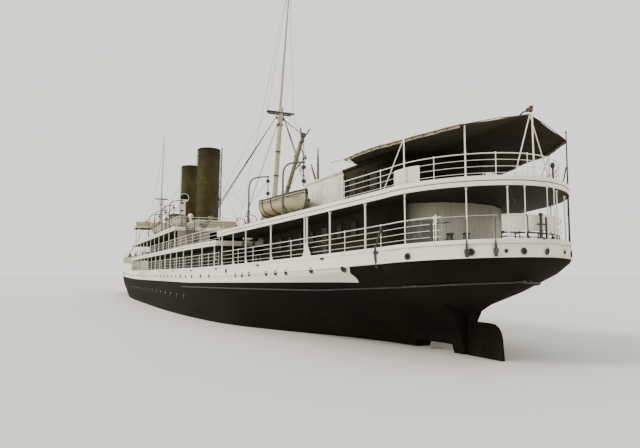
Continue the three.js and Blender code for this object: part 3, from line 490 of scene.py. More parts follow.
class Finish:
    """A material whose nodes are added by one method and whose place is read from Object coordinates."""

    def __init__(self, name, roughness=0.5, metallic=0.0, specular=0.5, **constants):
        self.material = bpy.data.materials.new(name)
        self.material.use_nodes = True
        self.tree = self.material.node_tree
        self.shader = self.tree.nodes["Principled BSDF"]
        self.shader.inputs["Roughness"].default_value = roughness
        self.shader.inputs["Metallic"].default_value = metallic
        self.shader.inputs["Specular IOR Level"].default_value = specular
        for socket, value in constants.items():
            self.shader.inputs[socket].default_value = value
        self.place = self.node("ShaderNodeTexCoord").outputs["Object"]
        parts = self.node("ShaderNodeSeparateXYZ", {}, self.place)
        self.x, self.y, self.z = (Value(self, parts.outputs[i]) for i in range(3))

    def node(self, kind, settings=None, *values, **named):
        """A node of a kind: its settings first, then its sockets' values or links, in order or by name."""
        node = self.tree.nodes.new(kind)
        for key, value in (settings or {}).items():
            setattr(node, key, value)
        chosen = list(zip(node.inputs, values)) + [(node.inputs[k], v) for k, v in named.items()]
        for socket, value in chosen:
            value = value.socket if isinstance(value, Value) else value
            if isinstance(value, bpy.types.NodeSocket):
                self.tree.links.new(value, socket)
            elif value is not None:
                socket.default_value = value
        return node

    def along(self, stretch, place=None):
        """Object coordinates squeezed by a factor along each axis."""
        node = self.node("ShaderNodeMapping", {}, place or self.place)
        node.inputs["Scale"].default_value = stretch
        return node.outputs[0]

    def noise(self, size, stretch=(1, 1, 1), detail=4.0, rough=0.55, place=None):
        """Soft random marks about as large as a size in model metres."""
        node = self.node("ShaderNodeTexNoise", {}, Vector=self.along(stretch, place), Scale=1.0 / size,
                         Detail=detail, Roughness=rough)
        return Value(self, node.outputs["Fac"])

    def cells(self, size, stretch=(1, 1, 1), place=None):
        """A random number for each cell of a size."""
        node = self.node("ShaderNodeTexWhiteNoise", {"noise_dimensions": "3D"},
                         self.node("ShaderNodeVectorMath", {"operation": "FLOOR"},
                                   self.along([s / size for s in stretch], place)).outputs[0])
        return Value(self, node.outputs["Value"])

    def up(self):
        """How far a face looks upwards."""
        normal = self.node("ShaderNodeNewGeometry").outputs["Normal"]
        return Value(self, self.node("ShaderNodeSeparateXYZ", {}, normal).outputs[2])

    def mix(self, factor, a, b, blend="MIX"):
        """One colour turned towards another by a factor."""
        node = self.node("ShaderNodeMix", {"data_type": "RGBA", "blend_type": blend})
        for socket, value in ((node.inputs[0], factor), (node.inputs[6], a), (node.inputs[7], b)):
            value = value.socket if isinstance(value, Value) else value
            if isinstance(value, bpy.types.NodeSocket):
                self.tree.links.new(value, socket)
            elif isinstance(value, (int, float)):
                socket.default_value = value
            else:
                socket.default_value = (*value[:3], 1)
        return node.outputs[2]

    def done(self, colour, roughness=None, height=None, depth=0.001, metallic=None, strength=1.0):
        """Links the colour, the roughness, the metal and a height in model metres, and gives the material."""
        ends = {"Base Color": colour, "Roughness": roughness, "Metallic": metallic}
        for name, value in ends.items():
            if isinstance(value, Value):
                value = value.socket
            if isinstance(value, bpy.types.NodeSocket):
                self.tree.links.new(value, self.shader.inputs[name])
            elif isinstance(value, tuple):
                self.shader.inputs[name].default_value = (*value[:3], 1)
        if height is not None:
            bump = self.node("ShaderNodeBump", {}, Height=height, Strength=strength, Distance=depth)
            self.tree.links.new(bump.outputs[0], self.shader.inputs["Normal"])
        return self.material


def shade(colour, share):
    """A share of a colour's light."""
    return [c * share for c in colour]


def line_mask(value, spacing, width):
    """1 on thin lines at even spacing across a value, 0 between them."""
    part = (value / spacing).fraction()
    edge = width / spacing
    return 1 - part.ramp(edge * 0.5, edge) * (1 - part.ramp(1 - edge, 1 - edge * 0.5))


finishes = {}


def finish_of(name):
    """A finish by its name, made once when it is first asked for."""
    if name not in finishes:
        finishes[name] = MAKERS[name](bpy.context.scene.steamer_paint)
    return finishes[name]


def rained_on(f, size, much, runs, clean, dirty):
    """Slow grime of a size and fine rain streaks, and a colour dirtied by shares of both."""
    grime = f.noise(size, detail=6.0)
    streak = f.noise(0.03, (1.6, 1.6, 0.12), detail=3.0)
    dirt = (grime.ramp(0.42, 0.75) * much + streak.ramp(0.55, 0.8) * runs).clipped()
    return grime, streak, f.mix(dirt, clean, dirty)


def weathered_white(paint, name="white_paint", tone=(1, 1, 1)):
    """Off-white oil paint with slow grime, rain streaks and a soft orange-peel surface."""
    f = Finish(name, roughness=0.5)
    fleck = f.noise(0.006, detail=2.0)
    clean = [c * t for c, t in zip(paint.white, tone)]
    dirty = [c * t for c, t in zip(paint.grime, tone)]
    grime, streak, colour = rained_on(f, 0.35, 0.5, 0.35, clean, dirty)
    colour = f.mix(fleck.ramp(0.72, 0.8) * 0.35, colour, paint.rust)
    return f.done(colour, 0.42 + grime * 0.25, streak * 0.4 + fleck * 0.3, 0.0006)


def planked(paint, name, side):
    """White plating; its upward faces are deck planks, caulked between, butts staggered by strake; its
    downward faces take painted shade.
    """
    f = Finish(name, roughness=0.7, specular=0.15)
    seam = line_mask(f.y, 0.016, 0.0016)
    strake = f.cells(0.016, (0, 1, 0))
    butt = line_mask(f.x + strake * 0.7, 0.62, 0.0022)
    grain = f.noise(0.004, (0.06, 1, 1), detail=5.0)
    wear = f.noise(0.22, detail=5.0)
    wood = f.mix(strake, paint.deck, shade(paint.deck, 0.74))
    wood = f.mix(grain.ramp(0.35, 0.7) * 0.55, wood, shade(paint.deck, 0.55))
    wood = f.mix(wear.ramp(0.5, 0.75) * 0.4, wood, (0.35, 0.32, 0.27))
    wood = f.mix(seam.larger(butt), wood, (0.03, 0.026, 0.02))
    grime, _, white = rained_on(f, 0.3, 0.45, 0.35, side, paint.grime)
    up = f.up()
    top = up.ramp(0.5, 0.7)
    # Painted shade: the downward faces take the dark under-deck colour, with darker patches and dark seams.
    under_deck_shade = f.mix(seam * 0.6, f.mix(grime.ramp(0.4, 0.7), paint.under_deck_shade, shade(paint.under_deck_shade, 0.6)),
                    (0.01, 0.009, 0.006))
    height = top * (1 - seam.larger(butt)) + grain * 0.25
    colour = f.mix(up.ramp(-0.7, -0.5), under_deck_shade, f.mix(top, white, wood))
    return f.done(colour, 0.7 + top * 0.08, height, 0.0006)


def house_finish(paint):
    """Boarded house walls: pale aft and at the fore end of the upper deckhouse, with dark brown painted shade
    between, where the walls lie under the decks and the awning.
    """
    f = Finish("house_paint_and_shade", roughness=0.6, specular=0.1)
    d, z = f.x / SCALE + MIDDLE, f.z / SCALE
    upper = z.ramp(7.2, 7.4)
    # Where the walls are pale; everywhere else they take painted shade.
    pale = (1 - upper) * (1 - d.ramp(4.5, 5.3)) + upper * d.ramp(11.0, 11.1) * (1 - d.ramp(20, 21))
    board = line_mask(f.x + f.y * 0.7, 0.02, 0.0014)
    grime, streak, light = rained_on(f, 0.2, 0.5, 0.4, paint.white, paint.grime)
    # Painted shade: the pale lower walls darken towards the deck overhead, to a dim grime colour.
    light = f.mix((z - 5.5).ramp(0, 1.7) * (1 - upper) * 0.75, light, shade(paint.grime, 0.3))
    # Painted shade for the walls under the decks and the awning, with darker patches, and darker again
    # towards the top.
    dark = f.mix(grime.ramp(0.35, 0.7), paint.under_deck_shade, shade(paint.under_deck_shade, 0.5))
    dark = f.mix(((z - 6.3).ramp(0, 1.0) * (1 - upper)) * 0.5, dark, shade(paint.under_deck_shade, 0.4))
    colour = f.mix(board * 0.12, f.mix(pale, dark, light), (0.02, 0.018, 0.012))
    return f.done(colour, 0.5 + grime * 0.2, streak * 0.3 - board, 0.0006)


def hull_finish(paint):
    """Black sides, a white band that steps down aft, red below the water, laps, rivets, rust, salt."""
    f = Finish("hull_paint", roughness=0.85, specular=0.05)
    d, z = f.x / SCALE + MIDDLE, f.z / SCALE
    aft = ((36 - d) / 36).larger(0).smaller(1) ** 2.2
    fore = ((d - 60) / 58).larger(0).smaller(1) ** 2
    edge = 4.12 + aft * 0.885 + fore * 2
    narrow = edge - 0.6
    wide = 3.0 + ((31 - d) / 22).larger(0).smaller(1) * 0.3 + fore * 2
    turn = d.ramp(6.75, 7.45)
    bound = narrow + (wide - narrow) * turn
    band = (z - bound).ramp(-0.012, 0.012)
    under = 1 - (z + f.noise(0.4) * 0.06).ramp(0.02, 0.06)
    lap = line_mask(z - fore * 2 - aft * 0.6, 0.86, 0.03)
    butt = line_mask(f.x + f.cells(0.086, (0, 0, 1)) * 0.5, 0.55, 0.0022)
    seam = lap.larger(butt)
    rivet = (line_mask(f.x, 0.011, 0.005) * line_mask(z - fore * 2 - aft * 0.6 + 0.06, 0.86, 0.05))
    grime = f.noise(0.5, detail=7.0)
    streak = f.noise(0.04, (1.5, 1.5, 0.1), detail=4.0)
    patch = f.noise(0.12, (1, 1, 0.6), detail=6.0)
    black = f.mix(grime.ramp(0.4, 0.7), paint.black, shade(paint.black, 1.9))
    black = f.mix(streak.ramp(0.62, 0.82) * 0.3, black, (0.022, 0.017, 0.009))
    black = f.mix(patch.ramp(0.66, 0.78) * 0.3, black, shade(paint.rust, 0.4))
    low = 1 - z.ramp(0.2, 1.1)
    black = f.mix(low * streak.ramp(0.4, 0.7) * 0.4, black, (0.028, 0.022, 0.012))
    white = f.mix((grime.ramp(0.45, 0.75) * 0.5 + streak.ramp(0.55, 0.8) * 0.4).clipped(), paint.white,
                  paint.grime)
    white = f.mix(seam * 0.35, white, (0.25, 0.22, 0.17))
    white = f.mix(patch.ramp(0.69, 0.78) * 0.35, white, paint.rust)
    red = f.mix(grime.ramp(0.4, 0.7), (0.16, 0.035, 0.02), (0.09, 0.03, 0.02))
    colour = f.mix(under, f.mix(band, black, white), red)
    rough = 0.65 + grime * 0.25
    return f.done(colour, rough, grime * 0.3 - seam * 0.8 + rivet * 0.6, 0.0012)


def funnel_finish(paint):
    """Dark funnel paint: plate laps, upright seams, heat-dulled bands, soot at the top and streaks."""
    f = Finish("funnel_paint", roughness=0.65, specular=0.12)
    grime = f.noise(0.12, detail=6.0)
    streak = f.noise(0.02, (1.5, 1.5, 0.08), detail=4.0)
    lap = line_mask(f.z, 0.118, 0.003)
    soot = f.z.ramp(1.72, 2.04)
    colour = f.mix(grime.ramp(0.35, 0.7), paint.funnel, shade(paint.funnel, 1.7))
    colour = f.mix(streak.ramp(0.55, 0.8) * 0.4, colour, (0.12, 0.085, 0.045))
    colour = f.mix(soot * 0.8, colour, (0.012, 0.011, 0.010))
    colour = f.mix(lap * 0.5, colour, (0.01, 0.009, 0.008))
    return f.done(colour, 0.5 + grime * 0.3, grime * 0.3 - lap + streak * 0.2, 0.001)


def wood_finish(name, light, dark, rough=0.4):
    """Varnished or painted wood, grain stretched along the boards, boards upright and a little apart."""
    f = Finish(name, roughness=rough)
    grain = f.noise(0.004, (1, 1, 0.07), detail=6.0)
    figure = f.noise(0.03, (1, 1, 0.25), detail=4.0)
    board = line_mask(f.x + f.y, 0.012, 0.0012)
    colour = f.mix(grain.ramp(0.3, 0.7), light, dark)
    colour = f.mix(figure.ramp(0.4, 0.75) * 0.5, colour, shade(dark, 0.5))
    colour = f.mix(board * 0.7, colour, (0.012, 0.008, 0.005))
    return f.done(colour, rough + grain * 0.2, grain * 0.3 - board, 0.0006)


def metal_finish(name, base, worn, rough=0.5, metallic=0.3):
    """Painted or bare iron with a cast skin, worn lighter in places and rusty in others."""
    f = Finish(name, roughness=rough, metallic=metallic)
    skin = f.noise(0.004, detail=3.0)
    wear = f.noise(0.03, detail=6.0)
    colour = f.mix(wear.ramp(0.5, 0.75), base, worn)
    colour = f.mix(skin.ramp(0.62, 0.75) * 0.5, colour, (0.10, 0.045, 0.02))
    return f.done(colour, rough + wear * 0.25, skin * 0.6 + wear * 0.3, 0.0005)


def cloth_finish(name, above, below=None):
    """Canvas: a plain weave in the piece's own UV metres, seams between cloths, stains and soft folds."""
    f = Finish(name, roughness=0.9, specular=0.1, **{"Sheen Weight": 0.03 if below else 0.12})
    uv = f.node("ShaderNodeUVMap", {"uv_map": "cloth"}).outputs[0]
    parts = f.node("ShaderNodeSeparateXYZ", {}, uv)
    u, v = Value(f, parts.outputs[0]), Value(f, parts.outputs[1])
    weave = (u * 2600).math("SINE", u * 2600) * (v * 2600).math("SINE", v * 2600)
    seam = line_mask(u, 0.061, 0.0016)
    stain = f.noise(0.09, detail=6.0)
    fine = f.noise(0.012, detail=4.0)
    top = f.mix(stain.ramp(0.45, 0.75) * 0.5, above, shade(above, 0.62))
    # Painted shade: given an underside colour, downward faces take it and upright hanging edges take a darker
    # tan, as shaded copies of the canvas.
    if below:
        under = f.mix(stain.ramp(0.4, 0.75) * 0.6, below, shade(below, 0.5))
        hem_shade = f.mix(stain.ramp(0.4, 0.75), (0.34, 0.30, 0.21), (0.22, 0.19, 0.12))
        top = f.mix(f.up().ramp(-0.4, -0.2), under, f.mix(f.up().ramp(0.15, 0.45), hem_shade, top))
    dark = (0.02, 0.016, 0.009) if below else shade(above, 0.4)
    colour = f.mix(seam * 0.45, top, dark)
    colour = f.mix(fine.ramp(0.5, 0.8) * 0.15, colour, dark)
    return f.done(colour, None, weave * 0.12 + seam * 0.8 + fine * 0.3, 0.0006)


def rope_finish(name, light, dark):
    """Laid rope or wire: slanting strands and worn fibre."""
    f = Finish(name, roughness=0.85, specular=0.2)
    strand = line_mask(f.x + f.y + f.z, 0.009, 0.003)
    fibre = f.noise(0.004, detail=3.0)
    colour = f.mix(strand * 0.6, light, dark)
    return f.done(f.mix(fibre.ramp(0.4, 0.7) * 0.5, colour, dark), None, strand + fibre * 0.5, 0.0006)


def glass_finish():
    """Dark window glass seen against an unlit room, a little uneven and smeared."""
    f = Finish("window_glass", roughness=0.35, specular=0.12)
    wave = f.noise(0.02, detail=2.0)
    smear = f.noise(0.008, detail=5.0)
    colour = f.mix(wave.ramp(0.35, 0.7), (0.008, 0.008, 0.006), (0.025, 0.024, 0.018))
    return f.done(colour, 0.3 + smear.ramp(0.5, 0.8) * 0.3, wave, 0.0003)


def boat_finish(paint):
    """Cream boat paint over planks, scuffed along the lands, weathered at the keel."""
    f = Finish("boat_paint", roughness=0.45)
    grime = f.noise(0.06, detail=6.0)
    scuff = f.noise(0.012, (0.3, 1, 1), detail=4.0)
    colour = f.mix(grime.ramp(0.45, 0.75) * 0.7, paint.boat, shade(paint.boat, 0.55))
    colour = f.mix(scuff.ramp(0.62, 0.75) * 0.5, colour, (0.2, 0.16, 0.1))
    return f.done(colour, 0.4 + grime * 0.3, scuff * 0.4 + grime * 0.2, 0.0006)


def floor_finish():
    """The plain pale floor."""
    f = Finish("studio_floor", roughness=0.8, specular=0.2)
    return f.done(f.mix(f.noise(3.0), (0.72, 0.70, 0.65), (0.68, 0.66, 0.61)), None)


MAKERS = {
    "white": weathered_white,
    "house": house_finish,
    "casing": lambda p: weathered_white(p, "casing_paint", (0.42, 0.38, 0.31)),
    "davit": lambda p: metal_finish("davit_paint", (0.10, 0.088, 0.065), (0.16, 0.14, 0.11), 0.55, 0.0),
    "planked": lambda p: planked(p, "deck_and_edge", list(p.white)),
    "planks": lambda p: planked(p, "deck_planks", (0.2, 0.18, 0.15)),
    "hull": hull_finish,
    "funnel": funnel_finish,
    "teak": lambda p: wood_finish("varnished_teak", p.wood, shade(p.wood, 0.45)),
    "spar": lambda p: wood_finish("spar_paint", shade(p.spar, 0.75), shade(p.spar, 0.45), 0.5),
    "mast": lambda p: wood_finish("mast_paint", shade(p.spar, 1.35), p.spar, 0.5),
    "iron": lambda p: metal_finish("dark_iron", (0.035, 0.034, 0.032), (0.11, 0.10, 0.09)),
    "bronze": lambda p: metal_finish("bronze", (0.42, 0.25, 0.09), (0.25, 0.2, 0.1), 0.35, 0.9),
    "brass": lambda p: metal_finish("brass", (0.55, 0.40, 0.14), (0.35, 0.25, 0.1), 0.3, 0.9),
    "red": lambda p: metal_finish("red_oxide", (0.16, 0.035, 0.02), (0.09, 0.03, 0.02), 0.6, 0.0),
    "awning": lambda p: cloth_finish("awning_canvas_and_shade", p.canvas, p.awning_under),
    "canvas": lambda p: cloth_finish("white_canvas", p.canvas),
    "rope": lambda p: rope_finish("manila_rope", (0.10, 0.08, 0.05), (0.04, 0.03, 0.02)),
    "wire": lambda p: rope_finish("tarred_wire", (0.06, 0.055, 0.05), (0.02, 0.018, 0.016)),
    "glass": lambda p: glass_finish(),
    "boat": boat_finish,
    "floor": lambda p: floor_finish(),
}

FINISH_NODES = {"hull": "hull rudder", "planks": "main_deck", "bronze": "screw", "casing": "casing",
                "planked": "forecastle aft_deck mid_deck boat_deck bridge_deck",
                "house": "aft_house smoke_room mid_house upper_house", "teak": "bridge_house wheelhouse",
                "iron": "main_hatch fore_hatch windlass main_swivel fore_swivel",
                "spar": "mainmast foremast main_boom fore_boom", "funnel": "funnel_fore funnel_aft"}
NODE_FINISH = {node: finish for finish, nodes in FINISH_NODES.items() for node in nodes.split()}


def finish_node(name):
    """Which finish a CAD node takes: from the table, or by the family its name begins with."""
    families = {"aft_door": "teak", "bridge_door": "teak", "davit": "white", "aft_boat": "boat",
                "deck_boats": "boat", "awning": "canvas", "stern_canvas": "canvas",
                "quarter_canvas": "canvas"}
    family = next((v for k, v in families.items() if name.startswith(k)), "white")
    return NODE_FINISH.get(name, family)


# Rails

MAIN_STANCHIONS = (0.3, 2.1, 4.98, 7.6, 10.19, 12.7, 15.2, 17.7, 20.2, 22.7)
UPPER_STANCHIONS = (0.4, 2.05, 4.96, 7.64)

RAILS = {
    "stern_rail": lambda: (open_gangway(stern_path(23.4, AFT_RAIL, 90)), main_floor, False, MAIN_STANCHIONS),
    "aft_deck_rail": lambda: ([stern_path(8.1, AFT_RAIL)], aft_floor, False, UPPER_STANCHIONS),
    "mid_deck_rail": lambda: ([loop_path(24.1, 72.64, SIDE_RAIL, "fore")], mid_floor, False),
    "boat_deck_rail": lambda: ([loop_path(38.36, 68.6, SIDE_RAIL, "aft")], boat_floor, False),
    "bridge_rail": lambda: ([resampled(rectangle(69.0, 72.8, 7.28), count=96, closed=True)],
                            bridge_floor, True),
    "forecastle_rail": lambda: ([loop_path(92.8, 116.6, SIDE_RAIL, "fore")], forecastle_floor, False),
    "side_rail_port": lambda: ([inset_place(np.linspace(24.1, 72.8, 40), SIDE_RAIL)], main_floor, False),
    "side_rail_starboard": lambda: ([inset_place(np.linspace(24.1, 72.8, 40), SIDE_RAIL) * [1, -1]],
                                    main_floor, False),
}


def open_gangway(path):
    """The stern rail's path in two parts, with the gangway on the port quarter left open between them."""
    port = path[:, 1] > 0
    before = path[port & (path[:, 0] > 2.0)]
    after = path[~port | (path[:, 0] < 0.33)]
    return [before, after]


def standing(path, places):
    """Stanchions at places on both sides, as far as the path reaches, one at each end, one dead aft."""
    spots = inset_place(np.array(places), AFT_RAIL)
    spots = np.concatenate([spots, spots * [1, -1], path[[0, -1]], path[[np.argmin(path[:, 0])]]])
    near = np.linalg.norm(spots[:, None] - path[None], axis=-1).min(1) < 0.4
    return spots[near]


def rail_shape(shape, path, floor, closed, sizes, places=None):
    """A rail: a stout top bar, lower bars at even heights, stanchions thicker at foot and joints."""
    for level in range(sizes.bars):
        z = RAIL_HEIGHT * (level + 1) / sizes.bars - 0.035
        thick = sizes.top if level == sizes.bars - 1 else sizes.bar
        shape.pipe(lifted(path, floor(path[:, 0]) + z), thick / SCALE, 6, closed=closed)
    posts = standing(path, places) if places else resampled(path, sizes.spacing, closed=closed)
    foot = floor(posts[:, 0])
    low, post = lifted(posts, foot), sizes.post / SCALE
    shape.bars(low, low + [0, 0, RAIL_HEIGHT - 0.05], post, 6)
    shape.bars(low, low + [0, 0, 0.05], 0.05, 8)
    for level in range(sizes.bars):
        z = RAIL_HEIGHT * (level + 1) / sizes.bars - 0.035
        shape.bars(low + [0, 0, z - 0.05], low + [0, 0, z + 0.05], post * 1.5, 6)


# Canvas

def awning_half(d):
    """Half breadth of the awning: straight from its after corners, drawn in between the poles."""
    return np.interp(d, [1.2, 2.0, 3.0, 4.5, 6.0, 8.2], [3.0, 3.42, 3.92, 4.2, 4.68, 4.98])


def awning_side(d):
    """Height of the awning's side ropes: a little higher at the after corners, lower at the fore ones."""
    d = np.asarray(d, float)
    return 9.5 + 0.16 * np.clip(1 - (d - 1.2) / 1.8, 0, 1) - 0.2 * np.clip((d - 5) / 2.5, 0, 1)


def awning_ridge(d):
    """Height of the awning along its ridge, a little above the straight line from the peak."""
    return 0.02 + np.interp(d, *zip(PEAK, RIDGE_END))


def cloth_lengths(points):
    """Length run across and along a grid of points, in metres, as its flat coordinates."""
    across = np.linalg.norm(np.diff(points, axis=1), axis=2)
    along = np.linalg.norm(np.diff(points, axis=0), axis=2)
    u = np.concatenate([np.zeros((len(points), 1)), np.cumsum(across, 1)], 1)
    v = np.concatenate([np.zeros((1, points.shape[1])), np.cumsum(along, 0)], 0)
    return np.stack([u, v], -1), float(u[:, -1].max()), float(v[-1].max())


def thickened(shape, points, thick):
    """A sheet of points given a back: its own copy a thickness below, joined to it round the border."""
    normal = unit(np.cross(np.gradient(points, axis=0), np.gradient(points, axis=1)))
    nu, nv = points.shape[:2]
    index = np.arange(nu * nv).reshape(nu, nv)
    front = np.stack([index[:-1, :-1], index[1:, :-1], index[1:, 1:], index[:-1, 1:]], -1).reshape(-1, 4)
    border = np.concatenate([index[:, 0], index[-1, 1:], index[-2::-1, -1], index[0, -2:0:-1]])
    after = np.roll(border, -1)
    rim = np.stack([after, border, border + nu * nv, after + nu * nv], -1)
    both = np.concatenate([points.reshape(-1, 3), (points - normal * thick).reshape(-1, 3)])
    uv = cloth_lengths(points)[0].reshape(-1, 2)
    return shape.faces(both, front, front[:, ::-1] + nu * nv, rim, uv=np.concatenate([uv, uv]))


def awning_cloth(sizes):
    """The stern awning: its after edge runs straight from the peak to two corners; its fore edge slants in
    from two corners and lies over the deckhouse; each row goes from side rope to ridge to side rope, hollowed
    by the cloth's sag, scalloped between the lashings, with a short hanging edge."""
    t = np.linspace(0, 1, 56)[:, None]
    s = np.linspace(-1, 1, 61)[None]
    s = np.concatenate([np.full((1, 3), -1.0), s, np.full((1, 3), 1.0)], 1)
    hang = np.concatenate([[0.15, 0.1, 0.05], np.zeros(61), [0.05, 0.1, 0.15]])[None]
    off = np.abs(s)
    fore = 7.5 + 2.1 * np.clip((1 - off) / 0.37, 0, 1)
    d = (PEAK[0] + 0.75 * off) * (1 - t) + fore * t
    side = 1.2 * (1 - t) + 7.5 * t
    tuck = 0.02 * (off ** 8) * np.abs(np.sin(side * 6.6)) * np.minimum(t * 8, 1)
    y = awning_half(side) * s * (1 - tuck * 0.6)
    low = awning_side(side) + 0.01
    z = low + (awning_ridge(PEAK[0] * (1 - t) + 7.95 * t) - low) * (1 - off) ** (1.1 - 0.55 * t ** 4)
    sag = sizes.sag * np.sin(off * np.pi) * (0.7 + 0.3 * np.cos(side * 2.4)) * np.minimum(t * 6 + 0.3, 1)
    crease = 0.012 * np.sin(side * 9 + off * 5) * np.sin(off * np.pi)
    return at(d, y, z - sag - crease - sizes.ripple * off ** 6 * np.cos(side * 5.3) + 0.02 - hang)


def rail_canvas(path, floor, low, high, sizes):
    """Canvas laced to a rail: slack between its lashings and gathered at its top edge."""
    run = np.concatenate([[0], np.cumsum(np.linalg.norm(np.diff(path, axis=0), axis=1))])
    t = np.linspace(0, 1, 9)
    slack = sizes.slack * np.sin(t * np.pi)[None] * (0.5 + 0.5 * np.sin(run * 3.1))[:, None]
    crease = sizes.slack * 0.3 * np.sin(run * 11.0)[:, None] * (t ** 2)[None]
    spots = path[:, None] + outward(path)[:, None] * (slack + crease)[..., None]
    scallop = 0.03 * (t ** 4)[None] * (np.abs(np.sin(run * 2.1)) - 1)[:, None]
    z = floor(path[:, 0])[:, None] + low + (high - low) * t[None] + scallop
    return place(lifted(spots, z))


# Fittings built on the ship's lines

def side_path(aft, fore, inset, side, step=1.5):
    """Places along one side of a deck, run so that the outside lies to the right."""
    d = np.unique(np.concatenate([[aft, fore], np.arange(aft, fore, step)]))
    path = np.stack([d, side * (deck_half(d) - inset)], -1)
    return path[::-1] if side > 0 else path


def outward(path):
    """Unit directions square to a plan path, to its right."""
    return unit(np.stack([np.gradient(path[:, 1]), -np.gradient(path[:, 0])], -1))


def band(shape, path, low, high, out, thick, paint=None):
    """A flat strip carried along a plan path between two heights, standing out from it."""
    normal = outward(path)
    outer, inner = path + normal * out, path + normal * (out - thick)
    z0, z1 = low(path[:, 0]), high(path[:, 0])
    rings = np.stack([lifted(outer, z0), lifted(inner, z0), lifted(inner, z1), lifted(outer, z1)], 1)
    shape.loft(place(rings), paint=paint)


def along_path(shape, path, z, radius, out=0.0, paint=None):
    """A round moulding or rope carried along a plan path at a height that may vary."""
    shape.pipe(lifted(path + outward(path) * out, height_at(z, path[:, 0])), radius, 6, paint=paint)


def edge_strips(shape, path, floor):
    """A deck's painted edge: a deep lower band and a nosing, with a dark water-way line between them."""
    band(shape, path, lambda d: floor(d) - 0.34, lambda d: floor(d) - 0.17, 0.02, 0.05)
    band(shape, path, lambda d: floor(d) - 0.13, lambda d: floor(d) + 0.03, 0.03, 0.07)
    along_path(shape, path, lambda d: floor(d) - 0.15, 0.014, 0.008, paint="iron")
    along_path(shape, path, lambda d: floor(d) + 0.03, 0.025, 0.0)


def on_hull(d, z, side, out=0.0):
    """Points on the hull's side and the directions square to it, from the slopes of its half breadth."""
    d, z = np.broadcast_arrays(np.asarray(d, float), np.asarray(z, float))
    half = hull_half(d, z)
    fore = (hull_half(d + 0.02, z) - hull_half(d - 0.02, z)) / 0.04
    rise = (hull_half(d, z + 0.02) - hull_half(d, z - 0.02)) / 0.04
    normal = unit(rows(-fore, np.ones_like(half), -rise))
    points = rows(d, half, z) + normal * out
    return points * [1, side, 1], normal * [1, side, 1]


STERN_PORTS = [(0.11, 4.60, 0.15), (0.33, 4.60, 0.07), (0.99, 4.56, 0.16), (3.03, 4.42, 0.16),
               (7.3, 3.93, 0.2), (10.05, 3.88, 0.17), (12.66, 3.79, 0.16), (13.87, 3.77, 0.16),
               (15.06, 3.74, 0.16), (17.5, 3.71, 0.16), (18.61, 3.65, 0.16), (19.72, 3.65, 0.16),
               (21.51, 3.92, 0.16), (25.25, 3.56, 0.16), (27.51, 3.56, 0.16)]


def hull_ports(shape):
    """Round side lights: the stern's at their own places, two long rows, one under the forecastle."""
    d, z, r = (np.array(v) for v in zip(*STERN_PORTS))
    upper = np.arange(30.2, 96, 2.15)
    lower = np.arange(33.5, 88, 2.9)
    bow = np.arange(95.5, 112, 2.6)
    d = np.concatenate([d, upper, lower, bow])
    z = np.concatenate([z, 3.5 + 2 * np.clip((upper - 60) / 58, 0, 1) ** 2, np.full(len(lower), 1.7),
                        deck_edge(bow) + 0.9])
    r = 0.74 * np.concatenate([r, np.full(len(d) - len(r), 0.16)])
    aft = np.linspace(0, 0.3, 300)
    right_aft = np.interp(0.25, hull_half(aft, 4.6), aft)
    for side in (1, -1):
        points, normal = on_hull(d, np.minimum(z, deck_edge(d) - 0.05), side)
        points[-len(bow):, 2] = z[-len(bow):]
        if side < 0:
            points[0], normal[0] = [right_aft, -0.25, 4.6], unit(np.array([-1.0, -0.3, -0.25]))
        shape.bars(points - normal * 0.03, points + normal * 0.01, r, 18, paint="glass")
        shape.rings(points + normal * 0.012, normal, r, 0.03, paint="iron")
        brow = UP * (r[:, None] + 0.09)
        shape.bars(points + brow - [0.14, 0, 0.03], points + brow + [0.14, 0, -0.03], 0.018, 6)


def hull_trim(shape):
    """Rubbing strakes below the white band, scuppers, and mouldings along the edge of the main deck."""
    d = np.concatenate([np.linspace(0.8, 4.5, 14), np.linspace(5, 34, 30)])
    z = np.interp(d, [0.8, 3.4, 11, 34], [3.41, 3.21, 2.86, 2.6])
    for side in (1, -1):
        points, _ = on_hull(d, z, side, 0.01)
        shape.pipe(points, 0.045, 6, paint="iron")
        scuppers = np.array([4.9, 9.0, 16.2, 23.6, 30.5, 38, 46, 54, 62, 70, 78, 86.0])
        points, normal = on_hull(scuppers, deck_edge(scuppers) - 0.12, side, 0.02)
        shape.boxes(points, (0.14, 0.05, 0.05), np.arctan2(normal[:, 1], normal[:, 0]) - np.pi / 2,
                    paint="iron")
    for side in (1, -1):
        path = side_path(23.8, 73.2, 0.0, side)
        band(shape, path, lambda d: deck_edge(d) - 0.05, lambda d: deck_edge(d) + 0.1, 0.03, 0.1)
    path = stern_path(23.8, 0.0)
    band(shape, path, lambda d: deck_edge(d) - 0.06, lambda d: deck_edge(d) + 0.1, 0.03, 0.1)
    along_path(shape, path, lambda d: deck_edge(d) - 0.6, 0.035, 0.01)


def ground_tackle(shape):
    """Hawse pipes with stockless anchors hove up, their crown down and two flukes against the plating."""
    for side in (1, -1):
        points, normal = on_hull(np.array([111.4]), np.array([4.3]), side, 0.02)
        hub, out = points[0], normal[0]
        shape.rings(points, normal, 0.34, 0.09, paint="iron")
        shape.bars(hub - out * 0.25, hub + out * 0.3, 0.26, 12, paint="iron")
        fall = np.array([-0.12, side * -0.1, -0.95])
        low = hub + out * 0.32 + fall
        shape.bars(hub + out * 0.22, low, 0.1, 8, paint="iron")
        shape.bars(low + [-0.5, 0, 0], low + [0.5, 0, 0], 0.15, 8, paint="iron")
        for end in (-0.42, 0.42):
            shape.bars(low + [end, 0, 0], low + out * 0.12 + [end * 1.25, 0, 0.85], 0.13, 8, paint="iron",
                       end=0.03)


